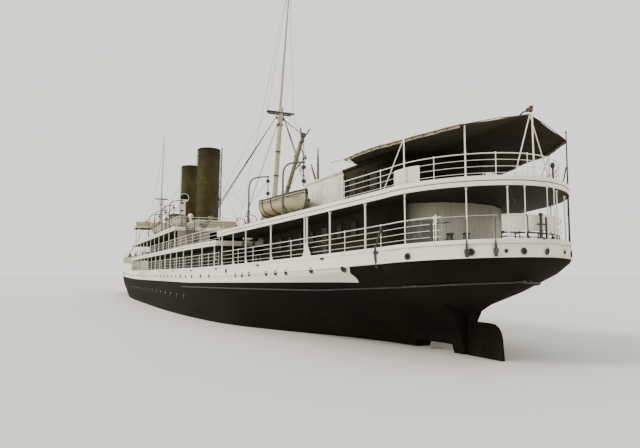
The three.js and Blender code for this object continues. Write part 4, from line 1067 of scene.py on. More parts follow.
def bilge_keels(shape):
    """Keels on the turn of the bilge, tapered at both ends."""
    d = np.linspace(38, 78, 41)
    for side in (1, -1):
        points, normal = on_hull(d, np.full(41, -3.35), side, -0.03)
        tip = points + normal * 0.32 * np.clip(np.minimum(d - 38, 78 - d) / 3, 0.1, 1)[:, None]
        up = np.array([0, 0, 0.03])
        rings = np.stack([place(points + up), place(tip + up), place(tip - up), place(points - up)], 1)
        shape.loft(rings if side < 0 else rings[:, ::-1], paint="red")


# Houses

def wall(middles, facing):
    """Places on a wall as rows, with the angles faced and the directions outwards and along the wall."""
    middles = np.asarray(middles, float).reshape(-1, 3)
    facing = np.broadcast_to(np.asarray(facing, float), len(middles))
    return middles, facing, rows(np.cos(facing), np.sin(facing), 0), rows(-np.sin(facing), np.cos(facing), 0)


def framed(shape, middles, facing, wide, high, bar=0.06, depth=0.05, pane="glass", paint=None, sash=True):
    """Windows on a wall that faces an angle from ahead: a pane, four bars round it, a sill, a sash bar."""
    middles, facing, out, along = wall(middles, facing)
    shape.boxes(middles + out * 0.008, (0.02, wide, high), facing, pane)
    for s in (-1, 1):
        shape.boxes(middles + s * along * (wide + bar / 2), (depth, bar / 2, high + bar), facing, paint)
        shape.boxes(middles + s * UP * (high + bar / 2), (depth, wide, bar / 2), facing, paint)
    shape.boxes(middles - UP * (high + bar * 1.3), (depth * 1.8, wide + bar * 1.5, bar * 0.4), facing, paint)
    if sash:
        shape.boxes(middles + out * 0.02, (0.02, wide, bar * 0.25), facing, paint)


def panelled(shape, middles, facing, wide, high, paint=None, rail=0.09, depth=0.03):
    """A joiner's door face: stiles, rails and two raised panels."""
    middles, facing, _, along = wall(middles, facing)
    for s in (-1, 1):
        shape.boxes(middles + s * along * (wide - rail / 2), (depth, rail / 2, high), facing, paint)
        shape.boxes(middles + s * UP * (high - rail / 2), (depth, wide - rail, rail / 2), facing, paint)
        shape.boxes(middles + s * UP * high * 0.47, (depth * 0.7, wide - rail * 2, high * 0.33), facing,
                    paint)
    shape.boxes(middles, (depth, wide - rail, rail / 2), facing, paint)


def wall_lights(shape, spots, half, z, wide, high, **more):
    """Framed windows along both side walls of a house."""
    spots = np.asarray(spots, float)
    for side in (1, -1):
        framed(shape, rows(spots, side * half, height_at(z, spots)), side * ABEAM, wide, high, **more)


def wall_strips(shape, aft, fore, half, heights, thick=0.035):
    """Level beads along both side walls at heights above the water that may follow the deck."""
    d = np.linspace(aft, fore, 24)
    for side in (1, -1):
        for z in heights:
            shape.pipe(rows(d, side * (half + 0.01), height_at(z, d)), thick, 6)


def houses(shape):
    """Windows, panelled doors and beads on the walls of the three long houses."""
    face = 0.07
    side_lights = [8.6, 10.2, 13.8, 15.5, 17.2, 18.9, 20.6]
    wall_lights(shape, side_lights, AFT_HOUSE[2] + face, lambda d: main_floor(d) + 1.35, 0.3, 0.36)
    wall_strips(shape, 7.2, 22.3, AFT_HOUSE[2] + 0.06,
                [lambda d: main_floor(d) + 0.12, lambda d: main_floor(d) + 0.8])
    turn = np.radians([148, 165])
    end = rows(4.1 + 3 * (1 - np.sin(turn)), 3.7 * np.cos(turn), main_floor(5) + 1.4)
    facing = np.arctan2(np.cos(turn) * 3.0, -np.sin(turn) * 3.7)
    framed(shape, end + wall(end, facing)[2] * face, facing, 0.24, 0.34)
    middle = MID_HOUSE[2] + face
    spots = np.arange(28.4, 70.5, 2.1)
    wall_lights(shape, spots, middle, 5.05, 0.26, 0.3)
    wall_strips(shape, 27.2, 71.2, MID_HOUSE[2] + 0.06, [4.33])
    spots = np.arange(43.2, 70.5, 1.95)
    wall_lights(shape, spots, UPPER_HOUSE[2] + face, 7.12, 0.3, 0.34)
    wall_strips(shape, 42.2, 71.2, UPPER_HOUSE[2] + 0.06, [6.3, 7.86])
    for d in (52.0, 60.1, 68.0):
        for side in (1, -1):
            panelled(shape, [[d, side * (UPPER_HOUSE[2] + 0.07), 6.98]], side * ABEAM, 0.36, 0.78, "teak")
    framed(shape, rows(MID_HOUSE[0] - face, [-4, -2.6, 2.6, 4], 5.05), np.pi, 0.28, 0.32)
    framed(shape, rows(UPPER_HOUSE[0] - face, [-3.8, -2.4, 2.4, 3.8], 7.12), np.pi, 0.3, 0.34)
    framed(shape, rows(MID_HOUSE[1] + face, [-4, -2, 0, 2, 4], 5.05), 0.0, 0.3, 0.34)
    framed(shape, rows(UPPER_HOUSE[1] + face, [-4, -2.4, -0.8, 0.8, 2.4, 4], 7.12), 0.0, 0.3, 0.34)


def smoke_room_trim(shape):
    """The deckhouse by the awning: windows and shutters, beads, a lipped roof and roof lights."""
    d = np.array([7.9, 10.1])
    for side in (1, -1):
        points = rows(d, side * 3.0, 8.4)
        framed(shape, points, side * ABEAM, 0.45, 0.4, 0.07, 0.09)
        shape.boxes(points, (0.02, 0.02, 0.4), side * ABEAM)
        shut = [[12.3, side * 3.03, 8.4], [14.5, side * 3.03, 8.4]]
        framed(shape, shut, side * ABEAM, 0.47, 0.42, 0.03, 0.04, pane=None, sash=False)
        panelled(shape, rows([6.9, 9.0, 11.2, 13.4, 15.6], side * 3.06, 8.3), side * ABEAM, 0.42, 0.85,
                 rail=0.06)
    wall_strips(shape, 6.9, 16.3, 3.06, [lambda d: aft_floor(d) + 0.15, 7.85, 9.36], 0.03)
    rim = rectangle(6.18, 16.52, 3.12)
    shape.pipe(lifted(rim, 9.45), 0.05, 6, closed=True)
    shape.pipe(lifted(rim, 9.51), 0.02, 6, closed=True)
    for d in (10.8, 13.2):
        shape.boxes([d, 0, 9.68], (0.8, 0.55, 0.18))
        shape.boxes([[d, -0.3, 9.9], [d, 0.3, 9.9]], (0.78, 0.32, 0.04), paint="glass")
        bar = np.linspace(-0.7, 0.7, 6)
        ends = np.stack([rows(d + bar, -0.6, 9.92), rows(d + bar, 0.6, 9.92)], 1)
        shape.rods(ends, 0.02, 6, paint="brass")


def roof_spars(shape):
    """Two short dark spars that stand and lean at the fore end of the deckhouse's roof."""
    for side in (1, -1):
        for foot, head in (([14.75, side * 2.9, 9.5], [14.75, side * 2.9, 11.6]),
                           ([14.85, side * 3.0, 9.5], [15.8, side * 2.9, 10.75])):
            shape.pipe(np.linspace(foot, head, 5), [0.075, 0.07, 0.065, 0.055, 0.03], 8, paint="teak")


def promenade_screens(shape):
    """Boarded screens across the after end of the promenade, from the rail's line to the ladders' heads."""
    for side in (1, -1):
        shape.boxes([38.12, side * 5.55, 7.16], (0.035, 1.5, 0.97))
        y = side * np.linspace(4.15, 6.95, 9)
        shape.boxes(rows(38.07, y, 7.16), (0.025, 0.02, 0.95))
        shape.boxes([[38.08, side * 5.55, 8.1], [38.08, side * 5.55, 6.24]], (0.05, 1.52, 0.05),
                    paint="white")


def wheelhouse_trim(shape):
    """The wheelhouse's glazing, roof edge and compass, the bridge's windows, stands and lamps."""
    y = np.array([-1.48, -0.74, 0, 0.74, 1.48])
    framed(shape, rows(72.24, y, 12.23), 0.0, 0.29, 0.37, 0.05, 0.09)
    for side in (1, -1):
        framed(shape, [[71.45, side * 1.84, 12.23]], side * ABEAM, 0.35, 0.37, 0.05, 0.09)
        panelled(shape, [[71.45, side * 1.9, 11.35]], side * ABEAM, 0.36, 0.45)
        framed(shape, rows([69.95, 71.6], side * 2.97, 9.6), side * ABEAM, 0.26, 0.34)
    panelled(shape, rows(72.3, y, 11.35), 0.0, 0.33, 0.45)
    framed(shape, rows(72.27, [-2.2, -1.1, 0, 1.1, 2.2], 9.6), 0.0, 0.3, 0.36)
    rim = rectangle(69.35, 72.55, 2.15)
    shape.pipe(lifted(rim, 12.94), 0.06, 6, closed=True)
    shape.pipe(lifted(rim * [1, 0.9], 13.88), 0.03, 6, paint="brass", closed=True)
    posts = lifted(rim * [1, 0.9], 12.98)
    shape.bars(posts, posts + [0, 0, 0.9], 0.028, 6, paint="brass")
    shape.lathe([71.3, 0, 12.98], [[0.26, 0], [0.26, 0.05], [0.15, 0.12], [0.13, 0.75], [0.2, 0.85],
                                   [0.2, 0.98], [0.14, 1.1], [0.02, 1.16]], 16, paint="brass")
    for side in (1, -1):
        shape.lathe([71.6, side * 5.6, 10.8], [[0.2, 0], [0.2, 0.05], [0.08, 0.1], [0.08, 0.85], [0.19, 0.95],
                                               [0.19, 1.12], [0.05, 1.2]], 14, paint="brass")
        shape.boxes([72.3, side * 7.0, 11.45], (0.55, 0.06, 0.28))
        shape.lathe([72.2, side * 7.12, 11.3], [[0.12, 0], [0.14, 0.08], [0.14, 0.3], [0.04, 0.4]], 12,
                    paint="brass")


# Funnels, casing and ventilators

def funnel_shape(shape, d):
    """A raked open tube with hoops and a rolled rim; steam pipes, ladders, a whistle and guys."""
    foot = CASING_TOP
    rim = FUNNEL_TOP - (0.38 if d == max(FUNNELS.values()) else 0)
    z = np.concatenate([[foot, foot + 0.12, foot + 0.2], np.linspace(foot + 0.3, rim - 0.3, 26),
                        [rim - 0.25, rim - 0.2, rim]])
    r = np.full(len(z), FUNNEL_RADIUS)
    r[:2] += 0.09
    r[-3:] += [0.0, 0.04, 0.04]
    cos, sin = circle(40)
    profile = np.concatenate([np.stack([r, z], -1),
                              np.stack([np.full(8, FUNNEL_RADIUS - 0.08), np.linspace(rim, foot, 8)], -1)])
    centre = d - FUNNEL_RAKE * (profile[:, 1] - foot)
    points = rows(centre + cos * profile[:, 0], sin * profile[:, 0], profile[:, 1])
    shape.surface(place(points), True, True)
    for h in (10.9, 12.6, 14.3, 16.0, 17.7, 19.3, rim - 0.03):
        ring = rows(d - FUNNEL_RAKE * (h - foot) + cos[:, 0] * FUNNEL_RADIUS, sin[:, 0] * FUNNEL_RADIUS, h)
        shape.pipe(ring[::-1], 0.035 if h < 20 else 0.05, 6, closed=True)

    def beside(turn, out, z):
        return [d - FUNNEL_RAKE * (z - foot) + math.cos(turn) * (FUNNEL_RADIUS + out),
                math.sin(turn) * (FUNNEL_RADIUS + out), z]

    pipe = -2.013
    shape.bars(beside(pipe, 0.28, foot + 0.1), beside(pipe, 0.28, rim + 0.22), 0.07, 12)
    shape.bars(beside(pipe, 0.28, rim + 0.1), beside(pipe, 0.28, rim + 0.22), 0.1, 12)
    shape.rods([[beside(pipe, 0.28, h), beside(pipe, -0.05, h)] for h in (12.6, 15.2, 17.7, 19.5)], 0.035, 6)
    shape.bars(beside(0.35, 0.12, foot + 0.1), beside(0.35, 0.12, rim - 0.6), 0.075, 10)
    shape.lathe(beside(0.35, 0.12, rim - 0.62), [[0.07, 0], [0.13, 0.06], [0.13, 0.4], [0.05, 0.5]], 12,
                paint="brass")
    rungs = np.arange(foot + 0.6, rim - 0.4, 0.38)
    for turn in (ABEAM, -ABEAM):
        for s in (-0.13, 0.13):
            shape.bars(beside(turn + s, 0.13, foot + 0.2), beside(turn + s, 0.13, rim - 0.1), 0.025, 6)
        shape.rods([[beside(turn - 0.13, 0.13, h), beside(turn + 0.13, 0.13, h)] for h in rungs], 0.018, 6)
    for turn in (0.8, -0.8, 2.35, -2.35):
        start = beside(turn, 0.02, 17.7)
        end_d = d + (3.2 if abs(turn) < 1.5 else -3.4)
        side = math.copysign(1, turn)
        foot_point = [end_d, side * (deck_half(end_d) - 0.75), 8.35]
        shape.bars(start, foot_point, 0.018, 5, paint="wire")
        near = np.array(foot_point) * 0.94 + np.array(start) * 0.06
        shape.bars(foot_point, near, 0.05, 8, paint="wire")


def cowl(shape, d, y, tall, neck, high=10.3, facing=1.0, throat_shade="glass"):
    """A cowl ventilator: a neck that bends ahead or aft and swells to a rolled mouth, with a dark disc in the
    mouth as painted shade of its throat.
    """
    top = high + tall
    turn = np.linspace(0, np.pi / 2, 9)
    reach = 2.1 * neck
    path = np.concatenate([[[d, y, high - 0.02], [d, y, high + 0.1], [d, y, top - 1.2 * neck]],
                           rows(d + facing * reach * (1 - np.cos(turn)), y,
                                top - 1.2 * neck + 1.2 * neck * np.sin(turn))[1:]])
    radius = np.concatenate([[neck * 1.25, neck, neck], neck * (1 + 1.1 * np.sin(turn[1:]) ** 2)])
    shape.pipe(path, radius, 20, paint="white")
    mouth = path[-1]
    shape.rings(mouth, [facing, 0, 0], 2.08 * neck, 0.04, around=24, paint="white")
    # Painted shade: a dark disc across the mouth stands for the shaded throat.
    shape.bars(mouth - [0.02 * facing, 0, 0], mouth + [0.012 * facing, 0, 0], 1.9 * neck, 24, paint=throat_shade)
    shape.bars([d, y, high], [d, y, high + 0.12], neck * 1.4, 20)
    shape.bars([d, y, high + 0.6], [d, y, high + 0.66], neck * 1.12, 20)


def casing_shape(shape):
    """The casing over the boilers and engines: sides with steel doors and vents, a rolled top edge, a
    skylight with lifted flaps, and the cowls."""
    d0, d1, half, high = CASING
    low = CASING_FOOT
    shape.boxes([(d0 + d1) / 2, 0, (low + high) / 2], ((d1 - d0) / 2, half, (high - low) / 2))
    rim = rectangle(d0, d1, half)
    shape.pipe(lifted(rim, high - 0.02), 0.06, 8, closed=True, paint="white")
    shape.pipe(lifted(rim, low + 0.1), 0.05, 8, closed=True)
    spots = np.arange(d0 + 1.1, d1 - 0.8, 2.4)
    for side in (1, -1):
        panel = rows(spots, side * half, 9.4)
        panelled(shape, panel[::2], side * ABEAM, 0.38, 0.85)
        framed(shape, panel[1::2], side * ABEAM, 0.3, 0.3)
        slats = np.linspace(-0.24, 0.24, 7)
        for m in panel[1::2]:
            shape.boxes(rows(m[0], m[1] + side * 0.03, m[2] + slats), (0.28, 0.02, 0.012))
        shape.pipe([[d0 + 0.3, side * (half + 0.09), 9.95], [d1 - 0.3, side * (half + 0.09), 9.95]], 0.04, 8)
    for d, y, tall, neck in COWLS:
        for side in (1, -1):
            cowl(shape, d, side * y, tall, neck, facing=-1.0 if neck > 0.25 else 1.0)
    shape.boxes([61, 0, 10.5], (1.0, 0.9, 0.2))
    shape.boxes([61, 0, 10.73], (1.05, 0.95, 0.03))
    for side in (1, -1):
        lid = rows(np.linspace(60.25, 61.75, 4), side * 0.45, 10.79)
        shape.boxes(lid, (0.21, 0.36, 0.025))
        shape.rings(lid + [0, 0, 0.03], UP, 0.12, 0.02, paint="glass")
        shape.bars(lid + [0, 0, 0.02], lid + [0, 0, 0.035], 0.11, 12, paint="glass")
    for d in (53.6, 58.5, 64.4):
        shape.lathe([d, 0, 10.3], [[0.3, 0], [0.3, 0.1], [0.2, 0.15], [0.2, 0.6], [0.36, 0.66], [0.36, 0.78],
                                   [0.1, 0.9]], 16)


# Boats and davits

def boat_shape(shape, spot, turn):
    """A ship's boat: section half breadth w(1 - t^3.65)^(1/1.65) over its depth t, planks lapped like
    shingles, carried along a keel that curves up at both ends; capping, keel, stems and gripes."""
    u = np.linspace(-1, 1, 49)
    half = np.maximum(1.0 * (1 - np.abs(u) ** 2.6), 0.05)
    rise = 1.0 + 0.3 * u ** 2
    keel = 0.12 * u ** 4 + 0.5 * u ** 16
    planks = 9
    t = np.concatenate([[k / planks + 0.0015, (k + 1) / planks - 0.0015] for k in range(planks)])
    lap = np.tile([0.0, 0.022], planks)
    t[-1], lap[-1] = 1.0, 0.0
    width = half[:, None] * (1 - t ** 3.65) ** (1 / 1.65) + 2 * lap * np.minimum(half, 0.3)[:, None]
    height = rise[:, None] + (keel - rise)[:, None] * t - lap * 0.5
    width[:, -1] = 0
    x = 3.1 * u * (1 - 0.02 * u ** 2)
    full_y = np.concatenate([width, -width[:, -2::-1]], 1)
    full_z = np.concatenate([height, height[:, -2::-1]], 1)
    count = full_y.shape[1]
    local = rows(np.broadcast_to(x[:, None], (49, count)), full_y, full_z)

    def aboard(points):
        return set_down(spot, turn, points)

    shape.loft(place(aboard(local))[:, ::-1])
    for side in (1, -1):
        rim = rows(x, side * (half + 0.02), rise)
        shape.pipe(aboard(rim), 0.045, 8, paint="iron")
        below = rows(x, side * (half * 0.995 + 0.025), rise - 0.17)
        shape.pipe(aboard(below), 0.025, 6, paint="iron")
        line = rows(x[2:-2], side * (half[2:-2] + 0.045),
                    rise[2:-2] - 0.22 - 0.1 * np.abs(np.sin(u[2:-2] * 9.4)))
        shape.pipe(aboard(line), 0.012, 5, paint="wire")
    spine = rows(x, 0, keel - 0.02)
    spine = np.concatenate([[[-3.05, 0, 1.4]], spine, [[3.05, 0, 1.4]]])
    shape.pipe(aboard(spine), 0.045, 6, paint="iron")
    for where in (-0.52, -0.12, 0.3, 0.6):
        w, top, low = (np.interp(where, u, v) for v in (half, rise, keel))
        tt = np.linspace(0, 1, 16)
        side_y = w * (1 - tt ** 3.65) ** (1 / 1.65) + 0.05
        side_z = top + (low - top) * tt - 0.02
        girth = np.concatenate([np.stack([side_y, side_z], -1), np.stack([-side_y, side_z], -1)[-2::-1]])
        over = np.array([[-w * 0.6, top + 0.12], [0, top + 0.16], [w * 0.6, top + 0.12]])
        girth = np.concatenate([girth, over])
        path = np.column_stack([np.full(len(girth), 3.1 * where), girth])
        shape.pipe(aboard(path), 0.028, 5, paint="wire", closed=True)
    return aboard, x, half, rise


def boat_cover(aboard, x, half, rise):
    """The boat's taut cover: from capping to capping over a ridge pole, hollowed a little on each side."""
    s = np.linspace(-1, 1, 21)
    y = (half[:, None] + 0.035) * s[None]
    hollow = 0.025 * np.sin(np.abs(s) * np.pi)
    z = rise[:, None] + 0.05 + 0.1 * half[:, None] * (1 - np.abs(s)) ** 0.8 - hollow
    return place(aboard(rows(np.broadcast_to(x[:, None], y.shape), y, z)))


def chocks(shape, spot, turn, floor):
    """Cradles under a boat: a curved upper edge on two legs and a sole."""
    for x in (-1.9, 1.9):
        a = np.linspace(-1, 1, 9)
        path = set_down(spot, turn, rows(x, 0.6 * a, 0.02 + 0.12 * a ** 2))
        shape.pipe(path, 0.07, 6)
        low = floor(spot[0] + x) + 0.01
        feet = path[[1, 7]]
        shape.bars(feet, lifted(feet, low), 0.07, 6)
        shape.boxes(lifted(set_down(spot, turn, [x, 0, 0]), low + 0.04), (0.09, 0.62, 0.04), turn)


def davit_shape(shape, d, y, side, floor):
    """A round-bar davit: upright, bent inwards by a spline, thinner at its head, with a heel, a collar, a
    cleat, blocks and parts of its fall."""
    reach = np.array([[0, 0], [0, 1.2], [0, 2.3], [0.04, 2.68], [0.18, 2.9], [0.42, 3.03], [0.75, 3.1],
                      [1.08, 3.14], [1.35, 3.16]])
    path = np.column_stack([np.full(9, d), y - side * reach[:, 0], floor + reach[:, 1] * 1.11])
    fine = resampled(path, count=36)
    kernel = np.array([0.25, 0.5, 0.25])
    for _ in range(3):
        fine[1:-1, 1:] = np.stack([np.convolve(fine[:, i], kernel, "same")[1:-1] for i in (1, 2)], -1)
    shape.pipe(fine, np.linspace(0.07, 0.05, 37), 12)
    shape.lathe([d, y, floor], [[0.12, 0], [0.12, 0.04], [0.1, 0.1], [0.1, 0.5], [0.08, 0.54]], 14)
    shape.bars([d, y, floor + 1.0], [d, y, floor + 1.08], 0.1, 12)
    shape.bars([d - 0.14, y, floor + 1.35], [d + 0.14, y, floor + 1.35], 0.03, 8, paint="iron")
    head = path[-1]
    shape.balls(head, 0.085, 8)
    eye = head - [0, 0, 0.12]
    shape.rings(eye, [0, 1, 0], 0.07, 0.018, paint="iron")
    drop = head[2] - floor - 2.65
    upper, lower = head - [0, 0, 0.3], head - [0, 0, 0.3 + max(drop, 0.5)]
    for block in (upper, lower):
        shape.lathe(block - [0.08, 0, 0], [[0.05, 0], [0.13, 0.02], [0.14, 0.08], [0.13, 0.14], [0.05, 0.16]],
                    12, paint="iron", axis=[1, 0, 0])
    shape.rods([[upper + [o, 0, -0.05], lower + [o, 0, 0.05]] for o in (-0.05, 0.0, 0.05)], 0.014, 5,
               paint="rope")
    shape.bars(upper + [0.06, side * 0.03, 0], [d + 0.06, y - side * 0.06, floor + 1.4], 0.013, 5,
               paint="rope")
    hook = np.array([[0, 0, -0.12], [0, 0, -0.24], [0.05, 0, -0.31], [0.1, 0, -0.27],
                     [0.09, 0, -0.21]]) + lower
    shape.pipe(hook, 0.022, 6, paint="iron")


# Masts, rigging and derricks

def mast_lines(name):
    """A mast's place, rake, crosstrees' height, shrouds' feet and floor, and its deck's height."""
    foot, rake, trees, shrouds = MASTS[name]
    floor = mid_floor(foot) if name == "main" else forecastle_floor(foot)
    deck = mid_floor if name == "main" else forecastle_floor
    return foot, rake, trees, shrouds, floor, deck


def mast_shape(shape, name):
    """A lower mast tapering to the trees, banded with hoops, a topmast through a cap before it, crosstrees,
    the derrick's table, shrouds with rattling lines set up with screws, and the stays."""
    foot, rake, trees, shrouds, floor, deck = mast_lines(name)

    def spine(z, ahead=0.0):
        z = np.asarray(z, float)
        return rows(foot - rake * (z - floor) + ahead, 0 * z, z)

    z = np.linspace(floor + 0.02, trees + 0.4, 12)
    shape.pipe(spine(z), np.linspace(0.26, 0.19, 12), 20)
    z = np.linspace(trees - 1.2, 30.3, 14)
    shape.pipe(spine(z, 0.3), np.linspace(0.14, 0.055, 14), 14)
    shape.lathe(spine(30.3, 0.3), [[0.05, 0], [0.14, 0.03], [0.14, 0.09], [0.05, 0.18], [0.01, 0.2]], 14)
    for h in np.concatenate([[floor + 0.06], np.arange(floor + 2.2, trees - 1.5, 2.1)]):
        shape.bars(spine(h - 0.05), spine(h + 0.05), 0.285 if h < floor + 1 else 0.265, 20, paint="iron")
    shape.lathe(spine(floor + 0.003), [[0.5, 0], [0.5, 0.05], [0.36, 0.12], [0.29, 0.3], [0.27, 0.32]], 20,
                paint="iron")
    shape.boxes(spine(trees - 0.02, 0.12), (0.2, 1.28, 0.045), paint="iron")
    shape.boxes([spine(trees - 0.1, -0.16), spine(trees - 0.1, 0.42)], (0.045, 1.1, 0.05), paint="iron")
    shape.boxes(spine(trees - 1.1, 0.12), (0.3, 0.2, 0.12), paint="iron")
    shape.bars(spine(trees + 0.28, -0.12), spine(trees + 0.28, 0.46), 0.11, 10, paint="iron")
    table = floor + 0.9
    shape.boxes(spine(table - 0.06, -0.375), (0.37, 0.2, 0.06), paint="iron")
    hold = spine(table - 0.12, -0.2)
    shape.bars(hold, spine(table - 0.6, 0.0), 0.06, 6, paint="iron")
    top = spine(trees - 0.05, 0.1)
    for side in (1, -1):
        reach = np.linspace(shrouds[0], shrouds[1], 3)
        feet = rows(foot + reach, side * (deck_half(foot + reach) - 0.7), deck(foot + reach) + 0.06)
        head = np.tile([top[0], side * 0.17, top[2]], (3, 1))
        shape.bars(feet, head, 0.024, 6, paint="wire")
        along = unit(head - feet)
        shape.bars(feet + along * 0.15, feet + along * 0.75, 0.05, 8, paint="iron")
        shape.bars(feet + along * 0.05, feet + along * 0.9, 0.032, 8, paint="iron")
        shape.boxes(feet - [0, 0, 0.02], (0.12, 0.05, 0.04), paint="iron")
        t = np.arange(0.16, 0.93, 0.032)[:, None]
        left, right = feet[0] + (head[0] - feet[0]) * t, feet[2] + (head[2] - feet[2]) * t
        shape.bars(left, right, 0.013, 5, paint="wire")
        spreader = np.array([top[0], side * 1.25, trees + 0.02])
        shape.rods([[feet[1] + [0.3, 0, 0], spreader], [spreader, spine(29.2, 0.3)]], 0.014, 5, paint="wire")
    stay = [40.4, 0, 8.4] if name == "main" else [116, 0, forecastle_floor(116) + 0.1]
    start, end = np.array(stay, float), spine(trees - 0.2)
    shape.bars(start, end, 0.03, 6, paint="wire")
    near = start + unit(end - start) * 0.8
    shape.bars(start + unit(end - start) * 0.1, near, 0.06, 8, paint="iron")
    shape.bars(spine(29.6, 0.3), start + [1.2 if name == "main" else 0.5, 0, 0], 0.015, 5, paint="wire")
    for h, side in ((trees - 0.5, 1), (trees - 0.5, -1), (29.7, 1)):
        block = spine(h, 0.1) + [0, side * 0.32, 0]
        shape.balls(block, 0.1, 6, paint="iron", stretch=(0.6, 1, 1.3))
    flag_line = spine(29.9, 0.36)
    shape.bars(flag_line, spine(floor + 1.4, 0.33), 0.009, 5, paint="wire")


def boom_lines(name):
    """A boom's heel at its gooseneck, and the directions along it and upwards, square to it."""
    foot, rake, _, _, floor, _ = mast_lines(name)
    lift = math.radians(BOOM_LIFT[name])
    heel = np.array([foot - rake * 0.9 - 0.82, 0, floor + 1.1])
    return heel, np.array([-math.cos(lift), 0, math.sin(lift)]), np.array([math.sin(lift), 0, math.cos(lift)])


def derrick_shape(shape, name):
    """A boom, thickest in the middle: gooseneck, bands, eyes, a forked head with sheaves, its runner."""
    heel, along, up = boom_lines(name)

    def on(r, rise=0.0, y=0.0):
        return heel + along * np.asarray(r, float)[..., None] + up * rise + [0, y, 0]

    r = np.linspace(0.45, 10.0, 16)
    shape.pipe(on(r), 0.12 + 0.06 * np.sin(np.pi * np.clip(r / 10.2, 0, 1)) ** 0.8, 14)
    shape.bars(on(0.0), on(0.6), 0.09, 10, paint="iron")
    shape.bars(on(0.0, 0, -0.116), on(0.0, 0, 0.116), 0.098, 16, paint="iron")
    for b in (0.55, 2.8, 5.0, 7.4, 9.3, 9.85):
        shape.bars(on(b - 0.05), on(b + 0.05), 0.205 if 2 < b < 9 else 0.17, 16, paint="iron")
    for b in (7.4, 9.3, 9.85):
        shape.rings([on(b, 0.22), on(b, -0.22)], [0, 1, 0], 0.07, 0.02, paint="iron")
    shape.rods([[on(9.1, 0, s * -0.08), on(10.5, 0, s * 0.4)] for s in (1, -1)], 0.07, 8)
    shape.rods([[on(8.9), on(7.9, 0, -0.75)], [on(7.9, 0, -0.75), on(6.4)]], 0.055, 8)
    shape.balls(on(7.9, 0, -0.8), 0.12, 6, paint="iron", stretch=(0.8, 0.6, 1.2))
    shape.bars(on(10.02, 0, -0.1), on(10.02, 0, 0.1), 0.11, 14, paint="iron")
    shape.bars(on(3.0, -0.2, -0.05), on(3.0, -0.2, 0.05), 0.13, 14, paint="iron")
    shape.rods([[on(9.9, -0.12), on(3.05, -0.3)], [on(3.0, -0.32), on(0.5, -0.16)]], 0.014, 5, paint="rope")
    hang = on(9.6, -0.3)
    drop = np.array([0, 0, -1.0])
    lower = hang + drop * 1.5
    shape.rods([[hang + [o, 0, 0], lower + [o, 0, 0.08]] for o in (-0.06, 0.06)], 0.014, 5, paint="rope")
    for block in (hang, lower):
        shape.balls(block, 0.13, 8, paint="iron", stretch=(1, 0.55, 1.25))
    hook = np.array([[0, 0, -0.12], [0, 0, -0.3], [0.07, 0, -0.4], [0.15, 0, -0.34],
                     [0.14, 0, -0.24]]) + lower
    shape.pipe(hook, 0.03, 6, paint="iron")
    for side in (1, -1):
        eye = on(9.3, 0.05, side * 0.15)
        guy = eye + np.array([0.15, side * 0.35, -1.25])
        shape.bars(eye, guy, 0.013, 5, paint="rope")
        shape.balls(guy, 0.09, 6, paint="iron", stretch=(0.7, 0.7, 1.4))


def topping_lift(shape, name):
    """The tackle from a derrick's head to the mast's crosstrees: three parts between two blocks."""
    foot, rake, trees, _, floor, _ = mast_lines(name)
    heel, along, up = boom_lines(name)
    head = heel + along * 9.85 + up * 0.26
    top = np.array([foot - rake * (trees - floor) - 0.45, 0, trees - 0.75])
    steps = np.linspace(0, 1, 24)[:, None]
    for o in (-0.06, 0.0, 0.06):
        shape.pipe(head + (top - head) * steps + [0, o, 0], 0.013, 5)
    for block in (head + (top - head) * 0.03, top + (head - top) * 0.03):
        shape.balls(block, 0.13, 8, paint="iron", stretch=(1, 0.7, 1.2))
    return head, top


# Awning frame and the gear right aft

